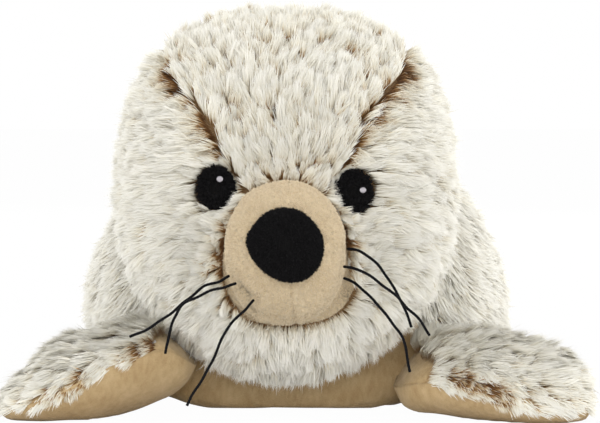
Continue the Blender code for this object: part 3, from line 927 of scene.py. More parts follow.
@dataclass
class Patch:
    """A panel of a surface between two rows and two columns, with the depth of its backing."""

    points: np.ndarray
    normals: np.ndarray
    along: np.ndarray
    across: np.ndarray
    depths: np.ndarray
    columns: np.ndarray

    @classmethod
    def cut(cls, surface: Surface, depths: np.ndarray, rows: tuple, columns: tuple) -> Patch:
        """Take a panel out of a surface.

        Args:
            surface: The surface.
            depths: Depth of the backing at each of its points, in metres.
            rows: First and last row.
            columns: First and last column, which may pass the count of columns.

        Returns:
            The panel.
        """
        across = np.arange(columns[0], columns[1] + 1)
        down = np.arange(rows[0], rows[1] + 1)
        pick = np.ix_(down, across % surface.points.shape[1])
        grids = [grid[pick] for grid in (surface.points, surface.normals, surface.along, surface.across)]
        return cls(*grids, depths[pick], np.tile(across.astype(float), (len(down), 1)))

    @classmethod
    def of_grid(cls, points: np.ndarray, middle: np.ndarray) -> Patch:
        """Make a panel of a plain grid.

        Args:
            points: The grid, in metres.
            middle: A place behind it.

        Returns:
            The panel, without a backing of its own.
        """
        along = unit(np.gradient(points, axis=0))
        across = unit(np.gradient(points, axis=1))
        normals = unit(np.cross(along, across))
        normals *= np.where(dot(normals, points - middle) < 0, -1.0, 1.0)
        columns = np.indices(points.shape[:2])[1].astype(float)
        return cls(points, normals, along, across, np.zeros(points.shape[:2]), columns)

    def backing(self) -> np.ndarray:
        """The face that the pile stands on."""
        return self.points - self.depths[..., None] * self.normals

    def scatter(self, rng: np.random.Generator, count: int) -> Roots:
        """Spread strands evenly over the panel.

        Args:
            rng: Source of chance.
            count: How many.

        Returns:
            Their roots.
        """
        ground = self.backing()
        first = ground[1:, 1:] - ground[:-1, :-1]
        second = ground[1:, :-1] - ground[:-1, 1:]
        area = np.linalg.norm(np.cross(first, second), axis=2)
        cells = rng.choice(area.size, count, p=(area / area.sum()).ravel())
        i, j = np.divmod(cells, area.shape[1])
        s, t = rng.random((2, count))

        def blend(grid: np.ndarray) -> np.ndarray:
            """Value of a grid at each strand."""
            if grid.ndim == 3:
                a, b = s[:, None], t[:, None]
            else:
                a, b = s, t
            upper = (1 - b) * grid[i, j] + b * grid[i, j + 1]
            lower = (1 - b) * grid[i + 1, j] + b * grid[i + 1, j + 1]
            return (1 - a) * upper + a * lower

        return Roots(
            blend(ground),
            unit(blend(self.normals)),
            unit(blend(self.along)),
            unit(blend(self.across)),
            blend(self.depths),
            blend(self.columns),
        )


@dataclass
class Comb(Strands):
    """How strands lie: directions, lengths against the pile's own, shares of brown (painted shade on the
    short pile) and lifts.
    """

    directions: np.ndarray
    lengths: np.ndarray
    browns: np.ndarray
    lifts: np.ndarray

    @classmethod
    def even(cls, directions: np.ndarray, length: float = 1.0) -> Comb:
        """Strands of one length, with no brown and the pile's own lift."""
        size = len(directions)
        return cls(directions, np.full(size, length), np.zeros(size), np.ones(size))


@dataclass(frozen=True)
class Parting:
    """How the pile is combed apart at a line, so that its brown roots show."""

    reach: float
    brown: float
    shorten: float
    spread: float
    lift: float = 0.0
    ripple: float = 0.0

    def apply(self, line: np.ndarray, roots: Roots, comb: Comb) -> None:
        """Comb strands away from a line.

        Args:
            line: Close points along it.
            roots: The strands' roots.
            comb: How they lie, changed in place.
        """
        gaps = roots.places[:, None, :] - line[None, :, :]
        distances = np.linalg.norm(gaps, axis=2)
        nearest = distances.argmin(axis=1)
        every = np.arange(len(nearest))
        away = gaps[every, nearest]
        away -= dot(away, roots.normals) * roots.normals
        share = 1.0 - smooth(distances[every, nearest], 0.0, self.reach)
        comb.directions = unit(comb.directions) + self.spread * share[:, None] * unit(away)
        comb.lengths *= 1.0 - self.shorten * share
        ripple = self.ripple * waves(roots.places, 0.03, Field.PARTING_BROWN)
        comb.browns += self.brown * share * (1.0 + ripple)
        comb.lifts += self.lift * share


@dataclass(frozen=True)
class Pile:
    """How the strands of one cloth stand. Sizes are in metres and angles in degrees."""

    length: float = 0.015
    width: float = 0.00048
    root_lift: float = 50.0
    tip_lift: float = 16.0
    clump_size: float = 0.0036
    clump_pull: float = 0.5
    clump_turn: float = 13.0
    strand_turn: float = 9.0
    lift_spread: float = 8.0
    lock_lift_spread: float = 7.0
    roll: float = 20.0
    brown_spread: float = 0.12
    stray_share: float = 0.02
    stray_lift: tuple = (8.0, 26.0)
    stray_pull: float = 0.2
    sway_turn: float = 10.0
    sway_size: float = 0.03
    steepest: float = 86.0
    raised_tip: float = 60.0
    bend: float = 10.0
    knee: float = 0.48
    knee_pull: float = 0.45
    root_depth: float = 0.0003
    lock_lengths: tuple = (0.8, 1.1)
    strand_lengths: tuple = (0.8, 1.08)
    pulls: tuple = (0.7, 1.15)
    widths: tuple = (0.75, 1.2)
    lock_shade: float = 0.7


FOREHEAD_PILE = Pile(width=0.00044, clump_size=0.0032, clump_pull=0.48, brown_spread=0.18)
CHEEK_PILE = Pile(length=0.016, clump_pull=0.38)
COLLAR_PILE = Pile(clump_size=0.003, clump_turn=20.0, lock_lift_spread=12.0, brown_spread=0.2)
BACK_PILE = Pile(
    width=0.00085,
    clump_size=0.0048,
    clump_pull=0.2,
    clump_turn=9.0,
    lift_spread=5.0,
    lock_lift_spread=3.5,
)
FLIPPER_PILE = Pile(
    width=0.00052,
    clump_size=0.0042,
    clump_pull=0.45,
    lift_spread=6.0,
    lock_lift_spread=5.0,
    brown_spread=0.14,
)
SHORT_PILE = Pile(
    length=0.0014,
    width=0.00022,
    root_lift=62.0,
    tip_lift=35.0,
    clump_size=0.0012,
    clump_pull=0.35,
    clump_turn=25.0,
    strand_turn=20.0,
    roll=40.0,
    stray_share=0.0,
)

FOREHEAD_SEAM = Parting(0.009, brown=0.3, shorten=0.5, spread=1.6, lift=-0.2)
CHEEK_SEAM = Parting(0.014, brown=1.3, shorten=0.3, spread=1.6, lift=-0.3, ripple=0.35)
CHIN_SEAM = Parting(0.006, brown=0.3, shorten=0.15, spread=0.5)
MUZZLE_EDGE = Parting(0.007, brown=-0.12, shorten=-0.25, spread=-0.5, lift=0.9, ripple=1.6)
NECK_EDGE = Parting(0.013, brown=0.0, shorten=0.6, spread=0.0)
SHOULDER_PART = Parting(0.008, brown=0.9, shorten=0.2, spread=1.0, ripple=0.5)
FLIPPER_PART = Parting(0.008, brown=0.8, shorten=0.1, spread=0.6, ripple=0.5)


def turned(vectors: np.ndarray, axes: np.ndarray, degrees: np.ndarray) -> np.ndarray:
    """Turn vectors about axes at right angles to them.

    Args:
        vectors: The vectors.
        axes: One unit axis for each.
        degrees: One angle for each.

    Returns:
        The turned vectors.
    """
    angle = np.radians(degrees)[:, None]
    return np.cos(angle) * vectors + np.sin(angle) * np.cross(axes, vectors)


def risen(flat: np.ndarray, normals: np.ndarray, degrees: np.ndarray) -> np.ndarray:
    """Raise directions along a surface toward its normals.

    Args:
        flat: The directions along the surface.
        normals: The surface's normals.
        degrees: One angle for each.

    Returns:
        The raised directions.
    """
    angle = np.radians(degrees)[:, None]
    return np.cos(angle) * flat + np.sin(angle) * normals


class Fur:
    """Grows strands on roots and makes one mesh of them."""

    lattice = 0.006
    lattice_share = 0.66

    def __init__(self, pile: Pile, material: bpy.types.Material) -> None:
        """Hold the pile and its finish, and shape one strand."""
        self.pile = pile
        self.material = material
        self.shape, self.loops, self.starts = self.strand_shape()

    @staticmethod
    def strand_shape() -> tuple[np.ndarray, np.ndarray, np.ndarray]:
        """Shape one flat strand: a grid of two cells whose two ends are merged into points.

        Returns:
            Each point's place across and along, the faces' corners in turn, and where each
            face starts among them.
        """
        bm = bmesh.new()
        bmesh.ops.create_grid(bm, x_segments=1, y_segments=2, size=0.5)
        for end in (-0.5, 0.5):
            edge = [vert for vert in bm.verts if abs(vert.co.y - end) < 0.1]
            bmesh.ops.pointmerge(bm, verts=edge, merge_co=Vector((0.0, end, 0.0)))
        bm.verts.index_update()
        points = np.array([(vert.co.x, vert.co.y + 0.5) for vert in bm.verts])
        faces = [[vert.index for vert in face.verts] for face in bm.faces]
        bm.free()
        starts = np.cumsum([0] + [len(face) for face in faces[:-1]])
        return points, np.array(sum(faces, [])), starts

    def clumps(self, roots: Roots, rng: np.random.Generator) -> np.ndarray:
        """Gather strands into locks.

        Args:
            roots: The strands' roots.
            rng: Source of chance.

        Returns:
            For each strand, the strand that leads its lock.
        """
        size = self.pile.clump_size
        count = max(1, int(self.area(roots) / size**2))
        leaders = rng.choice(len(roots.places), min(count, len(roots.places)), replace=False)
        tree = KDTree(len(leaders))
        for leader in leaders:
            tree.insert(roots.places[leader], int(leader))
        tree.balance()
        return np.array([tree.find(place)[1] for place in roots.places])

    def area(self, roots: Roots) -> float:
        """Rough area that roots cover, from the cells of a coarse lattice that they fill."""
        filled = np.unique(np.floor(roots.places / self.lattice), axis=0)
        return self.lattice_share * len(filled) * self.lattice**2

    def grow(self, name: str, roots: Roots, comb: Comb, seed: int) -> bpy.types.Object:
        """Make the strands.

        Args:
            name: Name of the piece.
            roots: Where the strands stand.
            comb: How they lie.
            seed: Which chance.

        Returns:
            The piece.
        """
        rng = np.random.default_rng(seed)
        pile = self.pile
        count = len(roots.places)
        lock = self.clumps(roots, rng)
        flat = unit(comb.directions - dot(comb.directions, roots.normals) * roots.normals)
        turn = rng.normal(0.0, pile.clump_turn, count)[lock] + rng.normal(0.0, pile.strand_turn, count)
        turn += pile.sway_turn * waves(roots.places, pile.sway_size, seed)
        flat = turned(flat, roots.normals, turn)
        lift_change = rng.normal(0.0, pile.lock_lift_spread, count)[lock]
        lift_change += rng.normal(0.0, pile.lift_spread, count)
        stray = rng.random(count) < pile.stray_share
        lift_change += np.where(stray, rng.uniform(*pile.stray_lift, count), 0.0)
        raised = np.maximum(comb.lifts - 1.0, 0.0)
        root_lift = np.minimum(pile.root_lift * comb.lifts, pile.steepest) + lift_change
        tip_lift = pile.tip_lift * np.minimum(comb.lifts, 1.0) + pile.raised_tip * raised + lift_change
        length = pile.length * comb.lengths * rng.uniform(*pile.lock_lengths, count)[lock]
        length = (length * rng.uniform(*pile.strand_lengths, count))[:, None]
        root = roots.places - pile.root_depth * roots.normals
        middle = root + pile.knee * length * risen(flat, roots.normals, root_lift)
        bent = turned(flat, roots.normals, rng.normal(0.0, pile.bend, count))
        tip = middle + (1.0 - pile.knee) * length * risen(bent, roots.normals, tip_lift)
        pull = pile.clump_pull * rng.uniform(*pile.pulls, count)
        pull = (pull * np.where(stray, pile.stray_pull, 1.0))[:, None]
        middle = middle + pile.knee_pull * pull * (middle[lock] - middle)
        tip = tip + pull * (tip[lock] - tip)
        run = unit(tip - root)
        side = turned(unit(np.cross(run, roots.normals)), run, rng.uniform(-pile.roll, pile.roll, count))
        width = (pile.width * rng.uniform(*pile.widths, count))[:, None]
        brown = comb.browns + rng.normal(0.0, pile.brown_spread, count)[lock]
        brown += rng.normal(0.0, 0.5 * pile.brown_spread, count)
        shade = rng.random(count)[lock] * pile.lock_shade + rng.random(count) * (1.0 - pile.lock_shade)
        return self.mesh(name, (root, middle, tip), side * width, brown, shade)

    def mesh(
        self, name: str, stations: tuple, sides: np.ndarray, browns: np.ndarray, shades: np.ndarray
    ) -> bpy.types.Object:
        """Repeat the strand's shape along each strand's line.

        Args:
            name: Name of the piece.
            stations: Root, middle and tip of each strand.
            sides: The way across each strand, as long as it is wide.
            browns: How far the brown reaches, 0 to 1; on the short pile, how much painted shade.
            shades: Dark to light, 0 to 1.

        Returns:
            The piece, with its UV map.
        """
        count = len(sides)
        corners = len(self.shape)
        points = np.empty((count, corners, 3))
        for i, (across, along) in enumerate(self.shape):
            station = stations[round(2 * along)]
            points[:, i] = station + across * sides
        points[..., 2] = np.maximum(points[..., 2], STRAND_FLOOR)
        loops = (self.loops[None, :] + corners * np.arange(count)[:, None]).ravel()
        starts = (self.starts[None, :] + len(self.loops) * np.arange(count)[:, None]).ravel()
        mesh = bpy.data.meshes.new(name)
        mesh.vertices.add(count * corners)
        mesh.vertices.foreach_set("co", points.ravel())
        mesh.loops.add(len(loops))
        mesh.loops.foreach_set("vertex_index", loops.astype(np.int32))
        mesh.polygons.add(len(starts))
        mesh.polygons.foreach_set("loop_start", starts.astype(np.int32))
        mesh.update(calc_edges=True)
        brown_step = np.clip(np.round(browns * (TONE_BROWNS - 1)), 0, TONE_BROWNS - 1)
        shade_step = np.clip(np.floor(shades * TONE_SHADES), 0, TONE_SHADES - 1)
        tones = TONE_BROWNS * TONE_SHADES
        column = (brown_step * TONE_SHADES + shade_step + 0.5) / tones
        across = self.shape[self.loops, 0]
        along = self.shape[self.loops, 1]
        us = column[:, None] + STRAND_UV_WIDTH * across[None, :] / tones
        vs = STRAND_UV_MARGIN + (1.0 - 2.0 * STRAND_UV_MARGIN) * along
        vs = np.broadcast_to(vs, us.shape)
        layer = mesh.uv_layers.new(name=STRAND_UV)
        layer.data.foreach_set("uv", np.stack([us, vs], axis=2).ravel().astype(np.float32))
        mesh.materials.append(self.material)
        obj = bpy.data.objects.new(name, mesh)
        bpy.context.collection.objects.link(obj)
        return obj


def sheet_of(name: str, points: np.ndarray, material: bpy.types.Material, thick: float) -> bpy.types.Object:
    """Make a panel of cloth from a grid of points.

    Args:
        name: Name of the piece.
        points: Grid of points on its outer face, in metres.
        material: Its finish.
        thick: Its thickness, which goes inward, or 0 where the panel closes on itself.

    Returns:
        The piece, its outer face outward.
    """
    bm = grid_mesh(points)
    bmesh.ops.remove_doubles(bm, verts=bm.verts[:], dist=1e-6)
    bmesh.ops.recalc_face_normals(bm, faces=bm.faces[:])
    obj = finished(name, bm, material)
    if thick:
        modifier = obj.modifiers.new("cloth", "SOLIDIFY")
        modifier.thickness = thick
        modifier.offset = -1.0
    return obj


def finished(name: str, bm: bmesh.types.BMesh, material: bpy.types.Material) -> bpy.types.Object:
    """Turn a mesh in metres into a smooth piece.

    Args:
        name: Name of the piece.
        bm: Its mesh, which is used up.
        material: Its finish.

    Returns:
        The piece.
    """
    for face in bm.faces:
        face.smooth = True
    mesh = bpy.data.meshes.new(name)
    bm.to_mesh(mesh)
    bm.free()
    mesh.materials.append(material)
    obj = bpy.data.objects.new(name, mesh)
    bpy.context.collection.objects.link(obj)
    return obj


def enrol(obj: bpy.types.Object, slot: Slot, *nodes: str) -> bpy.types.Object:
    """Put a piece on the seal.

    Args:
        obj: The piece.
        slot: The record's slot of its finish.
        nodes: CAD nodes that it stands for.

    Returns:
        The piece.
    """
    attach(obj, BODY)
    if nodes:
        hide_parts(*nodes)
    LOG.info("%s: %s", obj.name, slot.value)
    return obj


class Materials:
    """All finishes, made once."""

    def __init__(self) -> None:
        """Build each material."""
        self.fur = FurFinish().material()
        self.ground = BackingFinish().material()
        self.muzzle = PlushFinish("muzzle_plush", srgb(214, 196, 164), srgb(196, 175, 140)).material()
        self.belly = PlushFinish("belly_plush", srgb(206, 180, 138), srgb(172, 143, 100)).material()
        self.muzzle_pile = ShortPileFinish(
            "muzzle_pile", srgb(205, 184, 150), srgb(232, 218, 192)
        ).material()
        self.black = BlackPileFinish().material()
        self.black_pile = ShortPileFinish(
            "black_pile_strands", srgb(3, 3, 4), srgb(38, 37, 38), specular=0.05
        ).material()
        self.thread = ThreadFinish("black_thread", srgb(22, 22, 25), srgb(6, 6, 8)).material()
        self.white = ThreadFinish("white_thread", srgb(216, 211, 216), srgb(188, 184, 190)).material()
        self.fibre = FibreFinish().material()


@dataclass
class Torso:
    """Head and body as one surface, from the part's table."""

    row_fine: int = ROW_FINE
    column_fine: int = COLUMN_FINE
    surface: Surface = field(init=False)

    def __post_init__(self) -> None:
        """Loft the surface."""
        rows = filled_rows(BODY_ROWS, [count * self.row_fine for count in BODY_STEPS])
        rings = [self.ring(row, i / self.row_fine) for i, row in enumerate(rows)]
        self.surface = Surface(np.array(rings) * MM)

    def row(self, table_row: int) -> int:
        """Where a row of the table lies."""
        return sum(BODY_STEPS[:table_row]) * self.row_fine

    @property
    def muzzle(self) -> int:
        """Row of the muzzle seam."""
        return self.row(MUZZLE_SEAM_ROW)

    @property
    def neck(self) -> int:
        """Row of the neck seam."""
        return self.row(NECK_SEAM_ROW)

    @property
    def last(self) -> int:
        """Last row."""
        return len(self.surface.points) - 1

    @property
    def columns(self) -> int:
        """How many columns."""
        return 2 * (CROWN_CELLS + SIDE_CELLS + KEEL_CELLS) * self.column_fine

    @property
    def left_seam(self) -> int:
        """Column of the left forehead seam."""
        return CROWN_CELLS * self.column_fine

    @property
    def right_seam(self) -> int:
        """Column of the right forehead seam."""
        return self.columns - self.left_seam

    @property
    def left_belly(self) -> int:
        """Column of the left belly seam."""
        return (CROWN_CELLS + SIDE_CELLS) * self.column_fine

    @property
    def right_belly(self) -> int:
        """Column of the right belly seam."""
        return self.columns - self.left_belly

    @property
    def keel(self) -> int:
        """Column of the chin seam."""
        return self.columns // 2

    def angles(self, cad_row: float) -> np.ndarray:
        """Angle of each column from the crown line.

        Args:
            cad_row: The row, counted in the part's rows.

        Returns:
            The angles in radians.
        """
        muzzle = sum(BODY_STEPS[:MUZZLE_SEAM_ROW])
        neck = sum(BODY_STEPS[:NECK_SEAM_ROW])
        last = sum(BODY_STEPS)
        forehead = np.interp(cad_row, (muzzle, muzzle + 2, muzzle + 5, neck), FOREHEAD_ANGLES)
        belly = np.interp(cad_row, (neck, last), (BELLY_ANGLE_FRONT, BELLY_ANGLE_BACK))
        fine = self.column_fine
        crown = np.linspace(0, forehead, CROWN_CELLS * fine + 1)
        side = np.linspace(forehead, belly, SIDE_CELLS * fine + 1)
        keel = np.linspace(belly, 180, KEEL_CELLS * fine + 1)
        half = np.concatenate([crown, side[1:], keel[1:]])
        return np.radians(np.concatenate([half, 360 - half[-2:0:-1]]))

    def ring(self, row: np.ndarray, cad_row: float) -> np.ndarray:
        """Points round one row, held on the table where they would sink.

        Args:
            row: A row of the table.
            cad_row: Its place, counted in the part's rows.

        Returns:
            The points in millimetres.
        """
        angles = self.angles(cad_row)
        y, z, lean, width, up, down, power_up, power_down, sway = row
        power = np.where(np.cos(angles) > 0, power_up, power_down)
        across = np.sign(np.sin(angles)) * np.abs(np.sin(angles)) ** (2 / power)
        along = np.sign(np.cos(angles)) * np.abs(np.cos(angles)) ** (2 / power)
        height = np.where(along > 0, up, down) * along
        lean = math.radians(lean)
        places = (sway + width * across, y + height * math.sin(lean), z + height * math.cos(lean))
        points = np.stack(places, axis=1)
        points[:, 2] = np.maximum(points[:, 2], 0.0)
        return points


def look(tree: BVHTree, x: float, z: float) -> tuple[Vector | None, Vector | None]:
    """Point and normal where a straight look from the front meets a surface, if it does."""
    place, normal, _, _ = tree.ray_cast(Vector((x, -1.0, z)), Vector((0.0, 1.0, 0.0)))
    return place, normal


def seen_from_front(tree: BVHTree, x: float, z: float) -> tuple[Vector, Vector]:
    """Where a surface shows at a place of the front view, in millimetres.

    Args:
        tree: The surface.
        x: Place across.
        z: Height.

    Returns:
        The point, in metres, and its normal toward the front.
    """
    place, normal = look(tree, x * MM, z * MM)
    if normal.y > 0:
        normal = -normal
    return place, normal


def line_from_front(tree: BVHTree, line: tuple, depth: float) -> np.ndarray:
    """A line on a surface, given by its places across and up.

    Args:
        tree: The surface.
        line: The places in millimetres, as seen from the front.
        depth: Where the line lies from front to back, about, in metres.

    Returns:
        Close points on the surface.
    """
    knots = np.array(line) * MM
    stations = np.linspace(0, len(knots) - 1, 8 * len(knots))
    across, up = (np.interp(stations, np.arange(len(knots)), column) for column in knots.T)
    places = []
    for x, z in zip(across, up):
        place, _ = look(tree, x, z)
        if place is None:
            place = tree.find_nearest(Vector((x, depth, z)))[0]
        places.append(place)
    return np.array(places)


@dataclass
class Whiskers:
    """Six black threads, each a two-ply tube on its route."""

    diameter: float = 0.00142
    pitch: float = 0.0034
    ring_step: float = 0.0006
    sides: int = 10
    kink: float = 0.00022
    clearance: float = 0.0003
    path_points: int = 30

    def route(self, points: tuple, tree: BVHTree) -> np.ndarray:
        """A smooth line through a whisker's points, from the muzzle outward.

        Args:
            points: The whisker's points in millimetres.
            tree: The muzzle.

        Returns:
            Close points along it, in metres.
        """
        knots = np.array(points, float) * MM
        start = np.array(tree.find_nearest(Vector(knots[0]))[0])
        knots[0] = start + (0.5 * self.diameter + self.clearance) * unit(knots[1] - start)
        slopes = np.gradient(knots, axis=0)
        line = []
        for i in range(len(knots) - 1):
            ends = (knots[i], slopes[i]), (knots[i + 1], slopes[i + 1])
            line.extend(between(t, *ends) for t in np.linspace(0.0, 1.0, 16, endpoint=False))
        line.append(knots[-1])
        line = np.array(line)
        steps = np.linalg.norm(np.diff(line, axis=0), axis=1)
        travel = np.concatenate([[0.0], np.cumsum(steps)])
        wanted = np.linspace(0.0, travel[-1], int(travel[-1] / self.ring_step) + 1)
        even = np.stack([np.interp(wanted, travel, line[:, axis]) for axis in range(3)], axis=1)
        fade = smooth(wanted, 0.0, 0.008)
        for axis in range(3):
            wave = np.sin(wanted / 0.0051 + 2.1 * axis) + 0.6 * np.sin(wanted / 0.0023 + axis)
            even[:, axis] += self.kink * fade * wave
        return even

    def tube(self, name: str, line: np.ndarray, material: bpy.types.Material) -> bpy.types.Object:
        """Twist two plies along a line.

        Args:
            name: Name of the piece.
            line: The points that it follows.
            material: Its finish.

        Returns:
            The piece.
        """
        runs = unit(np.gradient(line, axis=0))
        side = unit(np.cross(runs[0], (0.0, 0.0, 1.0)))
        travel = np.arange(len(line)) * self.ring_step
        angles = np.linspace(0.0, 2 * math.pi, self.sides + 1)
        points = []
        for i, (place, run) in enumerate(zip(line, runs)):
            side = unit(side - np.dot(side, run) * run)
            rise = np.cross(run, side)
            twist = 2 * math.pi * travel[i] / self.pitch
            radius = 0.5 * self.diameter * (0.93 + 0.07 * np.cos(2 * (angles - twist)))
            ring = np.cos(angles)[:, None] * side + np.sin(angles)[:, None] * rise
            points.append(place + radius[:, None] * ring)
        bm = grid_mesh(np.array(points))
        bmesh.ops.remove_doubles(bm, verts=bm.verts[:], dist=1e-7)
        bmesh.ops.holes_fill(bm, edges=bm.edges[:], sides=self.sides)
        bmesh.ops.recalc_face_normals(bm, faces=bm.faces[:])
        return finished(name, bm, material)

    def build(self, tree: BVHTree, material: bpy.types.Material) -> None:
        """Make every whisker and put it on the seal.

        Args:
            tree: The muzzle.
            material: The thread's finish.
        """
        for key, points in WHISKERS.items():
            line = self.route(points, tree)
            piece = self.tube("whisker_thread_" + key, line, material)
            enrol(piece, Slot.THREAD, "whisker_" + key)


# Each lamp: name, place and side of its square in metres, watts
LAMPS = (
    ("left", (-1.4, -0.8, 0.9), 1.3, 10.0),
    ("right", (1.5, -0.6, 0.9), 1.3, 13.5),
    ("front", (0.0, -1.6, 0.5), 1.2, 6.5),
    ("top", (0.1, 0.1, 1.7), 1.4, 4.0),
    ("rear", (0.3, 1.5, 0.8), 1.3, 9.0),
)


@dataclass
class Studio:
    """Camera, lamps, white surround and pale floor."""

    distance: float = 1.3
    elevation: float = 3.0
    target: tuple = (0.0068, -0.137, 0.100)
    view_width: float = 0.282
    sensor: float = 36.0
    aim: tuple = (0.0, -0.05, 0.08)
    surround_light: float = 0.56
    floor_glow: float = 0.98
    floor_size: float = 6.0

    def camera(self) -> None:
        """Stand the camera where the photograph was taken."""
        data = bpy.data.cameras.new("camera")
        data.sensor_width = self.sensor
        data.lens = self.sensor * self.distance / self.view_width
        data.clip_end = 20.0
        obj = bpy.data.objects.new("camera", data)
        rise = math.radians(self.elevation)
        back = Vector((0.0, -math.cos(rise), math.sin(rise))) * self.distance
        obj.location = Vector(self.target) + back
        obj.rotation_euler = (math.radians(90.0 - self.elevation), 0.0, 0.0)
        bpy.context.collection.objects.link(obj)
        bpy.context.scene.camera = obj

    def lamp(self, name: str, place: tuple, size: float, power: float) -> None:
        """Hang one soft lamp that faces the seal.

        Args:
            name: Its name.
            place: Where it hangs.
            size: Side of its square.
            power: Watts.
        """
        data = bpy.data.lights.new(name, "AREA")
        data.shape = "SQUARE"
        data.size = size
        data.energy = power
        obj = bpy.data.objects.new(name, data)
        obj.location = place
        facing = Vector(self.aim) - Vector(place)
        obj.rotation_euler = facing.to_track_quat("-Z", "Y").to_euler()
        bpy.context.collection.objects.link(obj)

    def seen(self, nodes: Nodes) -> Number:
        """Where camera, mirror and glass rays look, as a number.

        Args:
            nodes: The node tree to add to.

        Returns:
            The number, 0 or 1.
        """
        path = nodes.node("LightPath")
        total = Number(nodes, path.outputs["Is Camera Ray"])
        for key in ("Is Glossy Ray", "Is Transmission Ray"):
            total = total.math("MAXIMUM", Number(nodes, path.outputs[key]))
        return total

    def surround(self) -> None:
        """White all round, dimmer as a source of light than as a background."""
        world = bpy.data.worlds.new("surround")
        bpy.context.scene.world = world
        world.use_nodes = True
        world.node_tree.nodes.clear()
        nodes = Nodes(world.node_tree)
        plain, white = (
            nodes.node("Background", None, {"Color": WHITE, "Strength": strength}).outputs[0]
            for strength in (self.surround_light, 1.0)
        )
        mix = nodes.node("MixShader", None, {0: self.seen(nodes), 1: plain, 2: white})
        nodes.node("OutputWorld", None, {"Surface": mix.outputs[0]})

    def floor(self) -> None:
        """A pale floor, whitened for the camera, that keeps the seal's shadow."""
        bm = bmesh.new()
        bmesh.ops.create_grid(bm, x_segments=4, y_segments=4, size=self.floor_size)
        shader = Shader("pale_floor")
        shader.set(Base_Color=srgb(243, 243, 243), Roughness=0.9, Specular_IOR_Level=0.1)
        glow = shader.node("Emission", None, {"Color": WHITE, "Strength": 1.0}).outputs[0]
        share = self.seen(shader) * self.floor_glow
        mix = shader.node("MixShader", None, {0: share, 1: shader.main.outputs[0], 2: glow})
        shader.feed(shader.tree.nodes["Material Output"].inputs["Surface"], mix.outputs[0])
        finished("floor", bm, shader.material)

    def build(self) -> None:
        """Set up light and surround."""
        bpy.context.scene.view_settings.view_transform = "Standard"
        self.surround()
        self.floor()
        for name, place, size, power in LAMPS:
            self.lamp(name, place, size, power)


